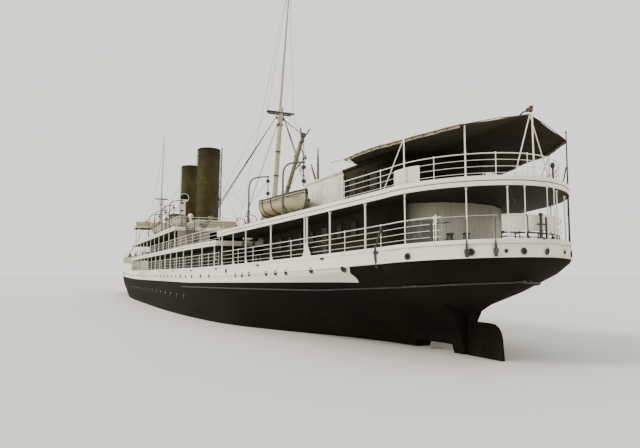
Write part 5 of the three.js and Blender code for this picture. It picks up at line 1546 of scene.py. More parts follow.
def awning_frame_shape(shape):
    """White poles, two legs under the peak, ridge and edge ropes, raking stays and the lashings."""
    poles = [(0.3, 0.0, 10.2)]
    for d, inset in ((1.22, 0.3), (3.3, 0.18), (8.45, 0.14)):
        y = deck_half(d) - inset
        poles += [(d, s * y, awning_side(d) - 0.01) for s in (1, -1) if d > 2 or s > 0]
    for d, y, top in poles:
        foot = aft_floor(d)
        shape.bars([d, y, foot], [d, y, top], 0.024 if d > 8 else 0.032, 12)
        shape.lathe([d, y, foot + 0.002], [[0.1, 0], [0.1, 0.03], [0.05, 0.07], [0.035, 0.2]], 12)
        shape.balls([d, y, top], 0.04, 6)
        if y:
            shape.bars([d, y, foot + 1.02], [d, y, foot + 1.1], 0.045, 10)
    peak = np.array([0.42, 0, 10.24])
    floor = aft_floor(0.8)
    shape.rods([[[0.55, 0.85, floor], peak], [[0.75, -1.4, floor], peak]], 0.024, 10)
    for s in (1, -1):
        pole = np.array([8.45, s * (deck_half(8.45) - 0.14), awning_side(8.45) - 0.03])
        corner = np.array([7.5, s * awning_half(7.5), awning_side(7.5) - 0.02])
        shape.bars(pole, corner, 0.016, 6, paint="rope")
        shape.pipe([corner, [9.6, s * 3.1, 9.6], [9.62, 0, 9.84]], 0.016, 6, paint="rope")
        shape.bars([3.3, s * (deck_half(3.3) - 0.18), 9.45], [4.65, s * 4.45, aft_floor(4.65) + 0.02], 0.022,
                   6)
    shape.bars([9.55, 0, 9.3], [9.55, 0, 9.82], 0.04, 10)
    shape.pipe([[0.3, 0, 10.2], [4.0, 0, 10.04], [9.6, 0, 9.82]], 0.014, 6, paint="rope")
    d = np.linspace(1.2, 7.5, 24)
    for s in (1, -1):
        side = rows(d, s * awning_half(d), awning_side(d) - 0.02)
        shape.pipe(side, 0.018, 6, paint="rope")
        shape.pipe([peak, [0.8, s * 1.5, awning_side(1.2) + 0.34], [1.2, s * 3.0, awning_side(1.2) - 0.02]],
                   0.018, 6, paint="rope")
        ties = np.linspace(1.2, 7.45, 14)
        a = rows(ties, s * awning_half(ties), awning_side(ties) - 0.02)
        shape.bars(a + [0, 0, 0.05], a - [0, s * 0.02, 0.07], 0.02, 5, paint="rope")
    knot = peak + [-0.06, 0, 0.16]
    shape.balls([knot, knot + [0.12, 0.03, 0.05], knot + [0.02, -0.05, 0.14]], 0.09, 6, paint="rope")
    shape.pipe([knot, knot + [0.35, 0.05, 0.02], knot + [0.62, 0.1, -0.14], knot + [0.75, 0.1, -0.2]], 0.035,
               6, paint="rope")


def stern_fittings(shape):
    """The gear round the stern: a low guard rail, a samson post, a small crane, bitts, the ensign staff, a
    compass on the deck above, life rings, the gangway's line and post, a locker, straps and hooks."""
    floor = main_floor(0.3)
    path = stern_path(1.3, 0.45, 60)
    path = resampled(path[path[:, 1] < deck_half(0.45) - 0.45], 0.12)
    along_path(shape, path, floor + 0.3, 0.035, paint="iron")
    along_path(shape, path, floor + 0.12, 0.02, paint="iron")
    for d, y in resampled(path, 0.55):
        shape.bars([d, y, floor], [d, y, floor + 0.3], 0.028, 6, paint="iron")
    post = np.array([0.12, -0.08, floor])
    shape.lathe(post, [[0.16, 0], [0.16, 0.06], [0.06, 0.12], [0.055, 0.95], [0.09, 0.98], [0.09, 1.04],
                       [0.04, 1.08]], 14, paint="iron")
    shape.bars(post + [0, -0.2, 0.62], post + [0, 0.2, 0.62], 0.035, 8, paint="iron")
    shape.lathe(post + [0.05, -0.34, 0], [[0.04, 0], [0.04, 0.9], [0.02, 0.93]], 10, paint="iron")
    crane = np.array([[0.2, 0.55, 0], [0.2, 0.55, 0.85], [0.19, 0.62, 1.0], [0.18, 0.78, 1.1],
                      [0.17, 0.9, 1.12]])
    shape.pipe(crane + [0, 0, floor], 0.026, 8, paint="iron")
    for side in (1, -1):
        for d, y, turn in ((1.75, 2.75, 0.9), (18.0, 5.6, 0.12), (26.0, 6.3, 0.05), (75.5, 6.6, 0.0)):
            bitts(shape, d, side * y, main_floor(d), side * turn, 0.6 if d < 2 else 1.0)
        for d, y, turn in ((101.0, 4.6, -0.25), (109.5, 2.6, -0.5)):
            bitts(shape, d, side * y, forecastle_floor(d), side * turn)
    shape.pipe([[1.25, -3.0, floor - 0.02], [1.2, -3.0, 10.0]], [0.045, 0.025], 10, paint="iron")
    shape.balls([1.2, -3.0, 10.02], 0.05, 6, paint="iron")
    shape.bars([1.21, -3.0, 9.7], [1.24, -2.93, floor + 1.2], 0.008, 5, paint="iron")
    deck = aft_floor(0.5)
    shape.lathe([0.62, -1.42, deck], [[0.12, 0], [0.12, 0.04], [0.035, 0.08], [0.035, 0.62], [0.09, 0.68],
                                      [0.1, 0.78], [0.06, 0.86], [0.01, 0.88]], 14, paint="iron")
    bar = np.array([[0.32, -0.75, 0.05], [0.62, -1.95, 0.06], [0.68, -2.1, 0.12], [0.85, -2.5, 0.8]])
    shape.pipe(bar + [0, 0, deck], 0.03, 8, paint="iron")
    shape.bars([0.54, 1.0, 6.68], [0.54, 1.0, 7.25], 0.016, 6, paint="iron")
    around = np.array([math.cos(math.pi * 0.85), math.sin(math.pi * 0.85), 0])
    shape.rings([0.54, 1.0, 6.57], around, 0.12, 0.025, paint="iron")
    for d, y, z in ((16.0, 3.1, 8.4), (16.0, -3.1, 8.4), (30.0, 5.32, 5.2), (30.0, -5.32, 5.2)):
        turn = math.copysign(ABEAM, y)
        axis = np.array([math.cos(turn), math.sin(turn), 0])
        shape.rings([d, y, z] + axis * 0.04, axis, 0.3, 0.075, around=24, sides=10)
        across = np.array([-axis[1], axis[0], 0]) * 0.3
        for a, b in ((across, 0.0), (-across, 0.0), (0 * across, 0.3), (0 * across, -0.3)):
            shape.boxes([d, y, z + b] + a + axis * 0.04, 0.085, turn, paint="iron")
    gate = resampled(inset_place(np.linspace(0.4, 2.02, 9), AFT_RAIL), count=8)
    shape.pipe(lifted(gate, main_floor(gate[:, 0]) + 1.0), 0.008, 6)
    post = np.array([*gate[-1], main_floor(gate[-1, 0])])
    shape.bars(post, post + [0, 0, 1.15], 0.028, 10)
    shape.bars(post + [0, 0, 0.72], post + [0, 0, 1.12], 0.05, 10)
    edge = np.column_stack([[2.45, 3.45], deck_half(np.array([2.45, 3.45])) - 0.62, [0, 0]])
    turn = math.atan2(edge[1, 1] - edge[0, 1], 1.0)
    stand = edge.mean(0) + [0, 0, main_floor(2.95)]
    handle = [*(gate[-3] * 0.9 + gate[-1] * 0.1), post[2] + 0.82]
    shape.bars(post + [0, 0, 0.78], handle, 0.03, 8, paint="iron")
    shape.boxes(stand + [0, 0, 0.1], (0.62, 0.2, 0.1), turn, paint="iron")
    shape.boxes(stand + [0, 0, 0.57], (0.6, 0.19, 0.37), turn, paint="iron")
    shape.boxes(stand + [0, 0, 0.955], (0.64, 0.22, 0.02), turn, paint="iron")
    for side in (1, -1):
        rail = inset_place(np.array([4.9]), AFT_RAIL)[0] * [1, side]
        points, _ = on_hull(np.full(3, 4.9), deck_edge(4.9) - np.array([0.0, 0.3, 0.75]), side, 0.07)
        strap = np.vstack([[[rail[0], rail[1], main_floor(4.9) + 0.6],
                            [rail[0], rail[1], main_floor(4.9) + 1.04]], points])
        shape.pipe(resampled(strap, 0.1), 0.045, 8, paint="iron")
    for d in (1.09, 0.5):
        points, normal = on_hull(np.array([d]), deck_edge(d) - 0.08, 1, 0.06)
        drop = np.array([0, 0, -0.32])
        turn = math.atan2(normal[0, 1], normal[0, 0])
        rise, reach = np.array([[0.1], [0.85], [0.97], [0.92]]), np.array([[-0.02], [-0.02], [0.05], [0.11]])
        shape.pipe(points + rise * UP + reach * normal, 0.018, 6, paint="iron")
        shape.bars(points[0] + [0, 0, 0.1], points[0] + drop, 0.03, 6, paint="iron")
        shape.boxes([points[0] + drop * 0.9, points[0] + drop * 1.35, points[0] + drop * 0.4],
                    [[0.05, 0.09, 0.09], [0.045, 0.06, 0.08], [0.04, 0.045, 0.08]],
                    np.array([turn + 0.3, turn - 0.5, turn]), paint="iron")


def bitts(shape, d, y, floor, turn, tall=1.0):
    """A pair of mooring bitts on a bed: two waisted posts with caps, their height times tall."""
    shape.boxes([d, y, floor + 0.05], (0.55, 0.2, 0.05), turn, paint="iron")
    for x in (-0.32, 0.32):
        shape.lathe(set_down([d, y, floor], turn, [x, 0, 0.1]),
                    [[0.15, 0], [0.12, 0.06], [0.12, 0.32 * tall], [0.17, 0.36 * tall], [0.17, 0.42 * tall],
                     [0.1, 0.46 * tall]], 14, paint="iron")


def knees(shape, feet, floor):
    """Flared plates at the feet of posts, upright on the deck's edge, tall at the double one."""
    for side in (1, -1):
        for d in feet:
            tall, wide = (0.85, 0.42) if abs(d - 10.75) < 0.1 else (0.4, 0.22)
            spots = np.array([d - wide, d + wide])
            y = side * (deck_half(spots) - 0.15)
            low = floor(spots)
            front = np.array([[spots[0], y[0], low[0]], [spots[1], y[1], low[1]],
                              [d, y.mean(), low.mean() + tall]])
            points = np.concatenate([front, front - [0, side * 0.03, 0]])
            order = np.array([[0, 1, 2], [3, 5, 4]])
            walls = np.array([[0, 3, 4, 1], [1, 4, 5, 2], [2, 5, 3, 0]])
            if side > 0:
                order, walls = order[:, [0, 2, 1]], walls[:, [0, 3, 2, 1]]
            shape.faces(place(points), order, walls)


# Place, inset and radius of the after deck's posts
AFT_POSTS = ((1.22, 0.3, 0.03), (3.3, 0.18, 0.03), (5.8, 0.14, 0.045), (8.55, 0.14, 0.045),
             (10.65, 0.14, 0.045), (10.9, 0.14, 0.045), (14.75, 0.14, 0.045), (18.4, 0.14, 0.045),
             (20.6, 0.14, 0.03), (22.8, 0.14, 0.045))


def deck_shape(shape, aft, fore, floor, below, posts):
    """A deck: a plate on the deck edge's curve, and round posts with collars down to the deck below."""
    bend = aft + (4.6 - aft) * np.linspace(0, 1, 40) ** 2 if aft < 1 else []
    d = np.unique(np.concatenate([[aft], bend, np.arange(max(aft, 4.6) + 0.7, fore, 1.3), [fore]]))
    half, top = deck_half(d), floor(d)
    low = top - PLATE
    shape.loft(np.stack([at(d, -half, low), at(d, half, low), at(d, half, top), at(d, -half, top)], 1))
    for d, y, radius in posts:
        foot, head = below(d), floor(d) - PLATE
        shape.bars([d, y, foot], [d, y, head + 0.02], radius, 10, paint="white")
        shape.rods([[[d, y, foot], [d, y, foot + 0.05]], [[d, y, head - 0.08], [d, y, head + 0.01]]],
                   radius * 1.7, 10, paint="white")


def pairs(posts):
    """Posts to port and to starboard from rows of place, inset and radius."""
    return [(d, side * (deck_half(d) - inset), radius) for d, inset, radius in posts for side in (1, -1)]


# Deck gear

def hatch_boards(shape, d0, d1, half, floor, height):
    """Hatch covers: athwart boards on a coaming with a round edge, battens and cleats at the sides."""
    count = int((d1 - d0 - 0.4) / 0.42)
    middle = d0 + 0.2 + (np.arange(count) + 0.5) * (d1 - d0 - 0.4) / count
    top = floor(middle) + height + 0.13
    shape.boxes(rows(middle, 0, top), (0.19, half - 0.2, 0.035))
    rim = rectangle(d0 - 0.02, d1 + 0.02, half + 0.02)
    z = floor(rim[:, 0]) + height
    shape.pipe(lifted(rim, z - 0.04), 0.05, 8, paint="iron", closed=True)
    for side in (1, -1):
        shape.pipe([[d0 + 0.2, side * (half + 0.03), floor(d0) + height - 0.2],
                    [d1 - 0.2, side * (half + 0.03), floor(d1) + height - 0.2]], 0.03, 6, paint="iron")
        cleats = np.arange(d0 + 0.4, d1 - 0.2, 0.6)
        shape.boxes(rows(cleats, side * (half + 0.04), floor(cleats) + height - 0.2), (0.04, 0.06, 0.07),
                    paint="iron")


def ladder(shape, low, high, wide, step=0.24):
    """A ship's ladder: two cheeks, treads at even rises and a hand rail on each side."""
    low, high = np.asarray(low, float), np.asarray(high, float)
    run = high - low
    across = unit(np.array([-run[1], run[0], 0.0])) * wide / 2
    count = max(2, int(abs(run[2]) / step))
    t = (np.arange(count) + 0.7)[:, None] / count
    turn = math.atan2(run[1], run[0])
    shape.boxes(low + run * t, (0.12, wide / 2, 0.02), turn)
    for s in (-1, 1):
        shape.bars(low + across * s, high + across * s, 0.05, 4, paint="iron")
        hand = np.array([low, low + [0, 0, 0.85], high + [0, 0, 0.85], high]) + across * s * 1.05
        shape.pipe(hand, 0.02, 6, paint="iron")


def bench(shape, d, y, floor, turn, long=1.6):
    """A slatted deck seat with a raked back on three cast legs."""

    def spot(*point):
        return set_down([d, y, floor], turn, point)

    for v in (-0.16, -0.08, 0.0, 0.08, 0.16):
        shape.boxes(spot(0, v, 0.42), (long / 2, 0.03, 0.014), turn)
    for z in (0.55, 0.66, 0.77):
        shape.boxes(spot(0, 0.2 + (z - 0.5) * 0.25, z), (long / 2, 0.014, 0.04), turn)
    for x in (-long / 2 + 0.1, 0, long / 2 - 0.1):
        shape.rods([[spot(x, -0.15, 0), spot(x, -0.15, 0.42)], [spot(x, 0.22, 0), spot(x, 0.3, 0.82)],
                    [spot(x, -0.18, 0.4), spot(x, 0.24, 0.4)]], 0.022, 6, paint="iron")


def deck_gear(shape):
    """Hatch boards, ladders, benches, lockers, a skylight, capstans, anchor cable and ventilators."""
    hatch_boards(shape, 25.2, 29.0, 1.9, mid_floor, 0.75)
    hatch_boards(shape, 78.0, 85.5, 2.2, main_floor, 0.85)
    for side in (1, -1):
        ladder(shape, [24.0, side * 4.6, main_floor(24.0)], [22.9, side * 4.6, aft_floor(22.9)], 0.8)
        ladder(shape, [36.3, side * 5.9, 6.15], [37.9, side * 5.9, 8.3], 0.8)
        ladder(shape, [89.9, side * 4.4, main_floor(89.9)], [92.4, side * 4.4, forecastle_floor(92.5)], 0.8)
        ladder(shape, [67.6, side * 4.2, 8.3], [68.85, side * 4.2, 10.8], 0.6)
        for d in (42.0, 51.9, 63.0):
            bench(shape, d, side * 3.6, 8.3, 0.0 if side > 0 else math.pi)
        for d in (20.0, 33.0):
            floor = aft_floor(d) if d < 23 else 6.15
            shape.lathe([d, side * 1.6, floor], [[0.26, 0], [0.26, 0.06], [0.18, 0.1], [0.18, 0.75],
                                                 [0.42, 0.8], [0.44, 0.88], [0.3, 1.0], [0.02, 1.06]], 18,
                        paint="white")
        shape.boxes([34.8, side * 3.6, 6.4], (0.8, 0.35, 0.25), paint="white")
        shape.boxes([34.8, side * 3.6, 6.67], (0.84, 0.39, 0.03))
    shape.boxes([18.6, 0, aft_floor(18.6) + 0.35], (1.3, 0.9, 0.35), paint="white")
    for side in (1, -1):
        spots = np.linspace(17.6, 19.6, 5)
        panel = rows(spots, side * 0.5, aft_floor(18.6) + 0.76)
        shape.boxes(panel, (0.2, 0.36, 0.03), paint="iron")
        shape.boxes(panel + [0, 0, 0.01], (0.15, 0.3, 0.03), paint="glass")
    fore = forecastle_floor(102.6)
    shape.lathe([102.6, 0, fore], [[0.55, 0], [0.55, 0.08], [0.32, 0.16], [0.26, 0.4], [0.3, 0.7],
                                   [0.48, 0.78], [0.5, 0.95], [0.36, 1.02]], 20, paint="iron")
    for a in np.arange(6) * np.pi / 3:
        shape.boxes([102.6 + 0.29 * math.cos(a), 0.29 * math.sin(a), fore + 0.42], (0.06, 0.035, 0.28), a,
                    paint="iron")
    for side in (1, -1):
        link = np.arange(0, 4.3, 0.17)
        d = 107.1 + link
        z = forecastle_floor(d) + 0.08
        y = side * (0.7 + 0.08 * link)
        middle = rows(d, y, z)
        half = [0.11, 0, 0]
        shape.bars(middle - half, middle + half, np.where(np.arange(len(d)) % 2, 0.05, 0.035), 6,
                   paint="iron")
        shape.lathe([111.5, side * 1.05, forecastle_floor(111.5)],
                    [[0.3, 0], [0.3, 0.08], [0.2, 0.14], [0.12, 0.14]], 16, paint="iron")
    for d, y in ((21.6, 0.0), (75.6, 2.0), (75.6, -2.0), (98.5, 2.2), (98.5, -2.2)):
        high = aft_floor(d) if d < 23 else forecastle_floor(d) if d > 92 else main_floor(d)
        cowl(shape, d, y, 1.35, 0.2, high, throat_shade="iron")


# What a user would change

def tint(name, description, default):
    """A colour that the panel shows."""
    return bpy.props.FloatVectorProperty(name=name, description=description, subtype="COLOR", default=default,
                                         min=0, max=1)


def number(name, description, default, low, high, **more):
    """A number that the panel shows, kept between two limits."""
    return bpy.props.FloatProperty(name=name, description=description, default=default, min=low, max=high,
                                   **more)


class SteamerPaint(bpy.types.PropertyGroup):
    """Colours of the paint, wood and cloth, and the painted shade under the decks and under the awning."""
    white: tint("White paint", "Upper works and rails", (0.80, 0.78, 0.69))
    grime: tint("Grime", "Dirt and streaks on the white", (0.44, 0.40, 0.30))
    rust: tint("Rust", "Rust at rivets and scuppers", (0.12, 0.055, 0.022))
    black: tint("Hull black", "Sides below the white band", (0.007, 0.006, 0.0035))
    funnel: tint("Funnel", "Funnels and steam pipes", (0.036, 0.028, 0.010))
    wood: tint("Varnished wood", "Doors, wheelhouse and rails' caps", (0.085, 0.052, 0.026))
    deck: tint("Deck planks", "Scrubbed deck planking", (0.36, 0.28, 0.18))
    spar: tint("Spars", "Masts and booms", (0.42, 0.37, 0.27))
    boat: tint("Boats", "Lifeboats' sides", (0.42, 0.37, 0.25))
    canvas: tint("Canvas", "Rail canvas and the awning's upper side", (0.74, 0.71, 0.61))
    awning_under: tint("Awning below", "The awning's shaded underside", (0.036, 0.028, 0.012))
    # Painted shade: the colour for deckheads and house walls that lie in shade.
    under_deck_shade: tint("Under the decks", "Deckheads and shaded house walls", (0.022, 0.017, 0.007))


class SteamerRails(bpy.types.PropertyGroup):
    """Sizes of the rails, in model metres."""
    bars: bpy.props.IntProperty(name="Bars", description="Bars in a rail, the top one included", default=4,
                                min=1, max=6)
    top: number("Top bar", "Radius of the top bar", 0.0022, 0.001, 0.01, subtype="DISTANCE")
    bar: number("Lower bars", "Radius of the lower bars", 0.0012, 0.001, 0.01, subtype="DISTANCE")
    post: number("Stanchions", "Radius of the rail's stanchions", 0.0018, 0.001, 0.01, subtype="DISTANCE")
    spacing: number("Spacing", "Ship metres between stanchions", 2.5, 0.5, 6)


class SteamerCloth(bpy.types.PropertyGroup):
    """How the canvas hangs, in ship metres."""
    sag: number("Awning sag", "Hollow between wire and ridge", 0.06, 0, 0.4)
    ripple: number("Edge ripple", "Scallops at the lashings", 0.008, 0, 0.2)
    slack: number("Rail canvas slack", "Belly of the canvas on the rails", 0.03, 0, 0.2)


class SteamerStudio(bpy.types.PropertyGroup):
    """The camera and the light."""
    lens: number("Lens", "Focal length for a 36 mm frame", 30.63, 15, 200, unit="CAMERA")
    sun: number("Key light", "Strength of the soft key light", 2.4, 0, 10)
    sky: number("Sky light", "Strength of the even light", 1.4, 0, 5)


def gathered(*steps):
    """One shape that each step adds to: a function, or a row of a function and its values."""
    shape = Shape()
    for step in steps:
        build, *values = step if isinstance(step, tuple) else (step,)
        build(shape, *values)
    return shape


class STEAMER_OT_studio(bpy.types.Operator):
    """Camera at the photograph's place, soft light and a pale floor at the waterline"""
    bl_idname = "steamer.studio"
    bl_label = "Studio"

    def execute(self, context):
        sizes = context.scene.steamer_studio
        tilt, turn = math.radians(5.271), math.radians(25.32)
        ahead = np.array([math.cos(tilt) * math.cos(turn), -math.cos(tilt) * math.sin(turn), math.sin(tilt)])
        right = np.array([-math.sin(turn), -math.cos(turn), 0.0])
        above = np.cross(right, ahead)
        lens = bpy.data.cameras.new("camera")
        lens.lens, lens.sensor_width = sizes.lens, 36
        lens.clip_start, lens.clip_end = 0.05, 200
        camera = bpy.data.objects.new("camera", lens)
        context.scene.collection.objects.link(camera)
        axes = np.stack([right, above, -ahead], -1)
        camera.matrix_world = Matrix.Translation((-7.468, 1.716, 0.370)) @ Matrix(axes.tolist()).to_4x4()
        context.scene.camera = camera
        sky = bpy.data.worlds.new("studio")
        sky.use_nodes = True
        background = sky.node_tree.nodes["Background"]
        background.inputs["Color"].default_value = (0.98, 0.97, 0.90, 1)
        background.inputs["Strength"].default_value = sizes.sky
        context.scene.world = sky
        sun = bpy.data.lights.new("key", "SUN")
        sun.energy, sun.angle, sun.color = sizes.sun, math.radians(18), (1.0, 0.96, 0.88)
        key = bpy.data.objects.new("key", sun)
        key.rotation_euler = (math.radians(-48), math.radians(-14), math.radians(-20))
        context.scene.collection.objects.link(key)
        floor = Shape()
        side = np.linspace(-60, 60, 3)
        x, y = np.meshgrid(side, side, indexing="ij")
        floor.surface(rows(x, y, np.zeros_like(x)))
        ground = floor.make("studio_floor", "floor", None)
        return {"FINISHED"}


class STEAMER_OT_paint(bpy.types.Operator):
    """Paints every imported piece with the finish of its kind"""
    bl_idname = "steamer.paint"
    bl_label = "Paint"

    def execute(self, context):
        for name, node in frame["nodes"].items():
            node.data.materials.clear()
            node.data.materials.append(finish_of(finish_node(name)))
        return {"FINISHED"}


class STEAMER_OT_hull(bpy.types.Operator):
    """The hull's plating as one smooth skin, with its side lights, strakes, anchors and bilge keels"""
    bl_idname = "steamer.hull"
    bl_label = "Hull"

    def execute(self, context):
        for name, angle in (("hull", 25), ("forecastle", 30), ("rudder", 30), ("screw", 35)):
            smooth_copy(name, angle)
        trim = gathered(hull_ports, hull_trim, ground_tackle, bilge_keels)
        trim.make("hull_fittings", "white glass iron red", slot="white_paint")
        return {"FINISHED"}


class STEAMER_OT_decks(bpy.types.Operator):
    """Decks laid on round posts, painted strips along their edges, and flared plates at the posts' feet"""
    bl_idname = "steamer.decks"
    bl_label = "Deck edges"

    def execute(self, context):
        strips = Shape()
        edge_strips(strips, stern_path(23.45, 0.0), aft_floor)
        for side in (1, -1):
            edge_strips(strips, side_path(23.8, 72.95, 0.0, side), mid_floor)
            edge_strips(strips, side_path(38.05, 72.95, 0.0, side), boat_floor)
        knees(strips, (10.75, 14.75, 18.4, 20.6, 22.8), main_floor)
        for d, floor in ((23.74, mid_floor), (37.98, boat_floor)):
            strips.boxes([d, 0, floor(d + 0.1) - 0.12], (0.04, deck_half(d) - 0.04, 0.14))
        strips.make("deck_edges", "white iron", slot="white_paint")
        stern = [(0.14, 0.72, 0.022), (0.05, -0.4, 0.022), (0.06, -0.79, 0.022), (0.42, 1.35, 0.03),
                 (0.42, -1.35, 0.03)]
        mid = [(24.5 + 3.2 * i, 0.14, 0.04) for i in range(16)]
        boat = [(38.5 + 3.2 * i, 0.14, 0.04) for i in range(11)]
        plans = {"aft_deck": (0.02, AFT_DECK_END, aft_floor, main_floor, stern + pairs(AFT_POSTS)),
                 "mid_deck": (23.75, 73.0, mid_floor, main_floor, pairs(mid)),
                 "boat_deck": (38.0, 73.0, boat_floor, mid_floor, pairs(boat))}
        for name, plan in plans.items():
            shape = gathered((deck_shape, *plan))
            shape.make(name + "_laid", "planked white", slot="white_paint", replaces=name)
        return {"FINISHED"}


class STEAMER_OT_houses(bpy.types.Operator):
    """Windows, doors and mouldings of all the deckhouses and the wheelhouse"""
    bl_idname = "steamer.houses"
    bl_label = "Deckhouses"

    def execute(self, context):
        walls = gathered(houses, smoke_room_trim, roof_spars)
        walls.make("house_fittings", "house glass teak brass iron", slot="white_paint")
        gathered(promenade_screens).make("promenade_screens", "casing white", slot="white_paint")
        gathered(wheelhouse_trim).make("wheelhouse_fittings", "teak glass white brass", slot="varnished_wood")
        for name, middle, half, floor in (("aft_door", 12.0, 3.7, main_floor),
                                          ("bridge_door", 70.2, 1.84, bridge_floor)):
            for word, side in SIDES.items():
                door = Shape()
                centre = floor(middle) + 0.12 + 0.85
                for face in (1, -1):
                    spot = [[middle, side * half + face * 0.062, centre]]
                    panelled(door, spot, face * ABEAM, 0.33, 0.78)
                    door.lathe([middle + 0.26, side * half + face * 0.08, centre],
                               [[0.012, 0], [0.012, 0.05], [0.035, 0.07], [0.03, 0.1]], 10, "brass",
                               [0, face, 0])
                door.make(f"{name}_{word}_panels", "teak brass", f"{name}_{word}", "varnished_wood")
        return {"FINISHED"}


class STEAMER_OT_funnels(bpy.types.Operator):
    """Both funnels with their hoops, pipes, ladders and guys, and the casing with its cowls"""
    bl_idname = "steamer.funnels"
    bl_label = "Funnels and casing"

    def execute(self, context):
        for name, d in FUNNELS.items():
            shape = gathered((funnel_shape, d))
            shape.make(name + "_plates", "funnel brass wire", slot="funnel_paint", replaces=name)
        gathered(casing_shape).make("casing_plates", "casing glass white", slot="white_paint", shaded=35,
                                    replaces="casing")
        return {"FINISHED"}


class STEAMER_OT_masts(bpy.types.Operator):
    """Masts with their rigging, and derricks with their tackle"""
    bl_idname = "steamer.masts"
    bl_label = "Masts and derricks"

    def execute(self, context):
        for name in MASTS:
            shape = gathered((mast_shape, name))
            shape.make(name + "mast_rigged", "mast iron wire", slot="buff_paint", replaces=name + "mast")
            boom = name + "_boom"
            gathered((derrick_shape, name)).make(name + "_derrick", "spar iron rope", boom, "buff_paint",
                                                 replaces=boom)
            shape = Shape()
            head, top = topping_lift(shape, name)
            piece = shape.make(name + "_topping_lift", "wire iron", None)
            start, end = place([top, head])
            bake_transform(piece)
        return {"FINISHED"}


class STEAMER_OT_boats(bpy.types.Operator):
    """Six boats in lapped planks under taut covers, on chocks, and their davits with falls"""
    bl_idname = "steamer.boats"
    bl_label = "Boats and davits"

    def execute(self, context):
        stands = [("aft", 16.7, 4.5, 0.1, aft_floor), ("mid1", 47.0, 5.55, 0.0, boat_floor),
                  ("mid2", 57.6, 5.55, 0.0, boat_floor)]
        for word, side in SIDES.items():
            for boat, middle, off, turn, floor in stands:
                shape = Shape()
                spot = [middle, side * off, floor(middle) + 0.55]
                hull = boat_shape(shape, spot, side * turn)
                chocks(shape, spot, side * turn, floor)
                piece = shape.make(f"boat_{boat}_{word}", "boat iron wire", slot="cream_paint")
                points = boat_cover(*hull)
                cover = thickened(Shape(), points, 0.0015)
                cover = cover.make(f"boat_cover_{boat}_{word}", "canvas", slot="canvas")
                for end, d in (("a", middle - 2.45), ("f", middle + 2.45)):
                    name = f"davit_{boat}_{end}_{word}"
                    foot = max(floor(d - 0.13), floor(d + 0.13)) + 0.003
                    shape = gathered((davit_shape, d, side * (deck_half(d) - 0.62), side, foot))
                    shape.make(name + "_bar", "davit iron boat rope", frame["nodes"][name]["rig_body"],
                               "white_paint", replaces=name)
            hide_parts(f"aft_boat_{word}")
            skid = Shape()
            for d in np.linspace(44.7, 59.9, 6):
                skid.boxes([d, side * 5.55, 8.33], (0.08, 0.75, 0.03))
            skid.boxes([52.3, side * 5.55, 8.38], (7.8, 0.08, 0.075))
            skid.make(f"boat_skids_{word}", "white", slot="white_paint", replaces=f"deck_boats_{word}")
        return {"FINISHED"}


class STEAMER_OT_deck_gear(bpy.types.Operator):
    """Ladders, seats, lockers, hatch boards, capstans, cable, bitts and the stern's fittings"""
    bl_idname = "steamer.deck_gear"
    bl_label = "Deck gear"

    def execute(self, context):
        gathered(deck_gear).make("deck_fittings", "teak iron white glass", slot="dark_iron")
        gathered(stern_fittings).make("stern_fittings", "white iron", slot="dark_iron")
        return {"FINISHED"}


class STEAMER_OT_rails(bpy.types.Operator):
    """Round bars and stanchions for every rail"""
    bl_idname = "steamer.rails"
    bl_label = "Rails"

    def execute(self, context):
        for name, plan in RAILS.items():
            paths, floor, closed, *places = plan()
            shape = Shape()
            for path in paths:
                rail_shape(shape, path, floor, closed, context.scene.steamer_rails, *places)
            shape.make(name + "_bars", "white", slot="white_paint", replaces=name)
        return {"FINISHED"}


class STEAMER_OT_canvas(bpy.types.Operator):
    """The stern awning on its frame, the canvas on the rails and the dodgers round the bridge"""
    bl_idname = "steamer.canvas"
    bl_label = "Canvas"

    def execute(self, context):
        sizes = context.scene.steamer_cloth
        gathered(awning_frame_shape).make("awning_poles", "white rope", slot="white_paint",
                                          replaces="awning_frame")
        points = awning_cloth(sizes)
        cloth = thickened(Shape(), points, 0.002).make("stern_awning", "awning", slot="canvas",
                                                       replaces="awning")
        inset = AFT_RAIL - 0.055
        laced = [("stern_rail_canvas", "stern_canvas", resampled(stern_path(0.34, inset, 90), 0.06),
                  main_floor, 0.36, 1.05, "stern_rail_bars"),
                 ("quarter_rail_canvas", "quarter_canvas",
                  resampled(inset_place(np.linspace(2.6, 4.0, 24)[::-1], inset), 0.06), aft_floor, 0.06, 0.82,
                  "aft_deck_rail_bars")]
        wing = np.array([[69.06, 7.34], [72.86, 7.34], [72.86, 2.4]])
        for word, side in SIDES.items():
            path = wing * [1, side]
            laced.append((f"bridge_dodger_{word}", None, resampled(path if side < 0 else path[::-1], 0.1),
                          bridge_floor, 0.12, 1.05, "bridge_rail_bars"))
        for name, node, path, floor, low, high, rail in laced:
            points = rail_canvas(path, floor, low, high, sizes)
            piece = thickened(Shape(), points, 0.0012).make(name, "canvas", slot="canvas", replaces=node)
        return {"FINISHED"}


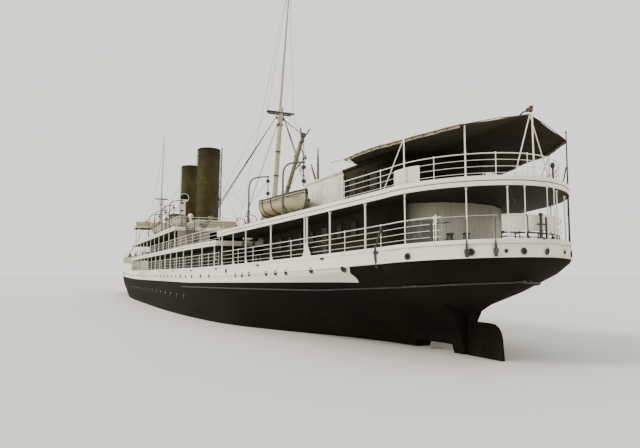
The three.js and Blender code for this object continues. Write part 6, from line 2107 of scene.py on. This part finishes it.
def smooth_copy(name, angle):
    """A CAD node's own shape, corners joined so that it shades smoothly; the node is then hidden."""
    node = frame["nodes"][name]
    count = len(node.data.vertices)
    points = np.zeros(count * 3, np.float32)
    node.data.vertices.foreach_get("co", points)
    loops = np.zeros(len(node.data.loops), np.int32)
    node.data.loops.foreach_get("vertex_index", loops)
    points, index = np.unique(np.round(points.reshape(-1, 3), 5), axis=0, return_inverse=True)
    faces = index.ravel()[loops].reshape(-1, 3)
    faces = faces[(faces[:, 0] != faces[:, 1]) & (faces[:, 1] != faces[:, 2]) & (faces[:, 2] != faces[:, 0])]
    shape = Shape().faces(points, faces)
    shape.make(name + "_skin", finish_node(name), node["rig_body"], shaded=angle, replaces=name)


GROUPS = {"steamer_paint": SteamerPaint, "steamer_rails": SteamerRails, "steamer_cloth": SteamerCloth,
          "steamer_studio": SteamerStudio}
OPERATORS = (STEAMER_OT_studio, STEAMER_OT_paint, STEAMER_OT_hull, STEAMER_OT_decks, STEAMER_OT_rails,
             STEAMER_OT_houses, STEAMER_OT_funnels, STEAMER_OT_masts, STEAMER_OT_boats, STEAMER_OT_deck_gear,
             STEAMER_OT_canvas)


class STEAMER_PT_panel(bpy.types.Panel):
    """The steamship's pieces and sizes"""
    bl_label = "Steamship"
    bl_idname = "STEAMER_PT_panel"
    bl_space_type = "VIEW_3D"
    bl_region_type = "UI"
    bl_category = "Steamship"

    def draw(self, context):
        for operator in OPERATORS:
            self.layout.operator(operator.bl_idname)
        for name, group in GROUPS.items():
            box = self.layout.box()
            box.label(text=name.replace("_", " "))
            for prop in group.__annotations__:
                box.prop(getattr(context.scene, name), prop)


CLASSES = (*GROUPS.values(), *OPERATORS, STEAMER_PT_panel)


def register():
    for cls in CLASSES:
        bpy.utils.register_class(cls)
    for name, group in GROUPS.items():
        setattr(bpy.types.Scene, name, bpy.props.PointerProperty(type=group))


def unregister():
    for name in GROUPS:
        delattr(bpy.types.Scene, name)
    for cls in reversed(CLASSES):
        bpy.utils.unregister_class(cls)


def main():
    """Builds every piece in order."""
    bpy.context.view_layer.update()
    register()
    for operator in OPERATORS:
        group, name = operator.bl_idname.split(".")
        getattr(getattr(bpy.ops, group), name)()


if __name__ == "__main__":
    main()
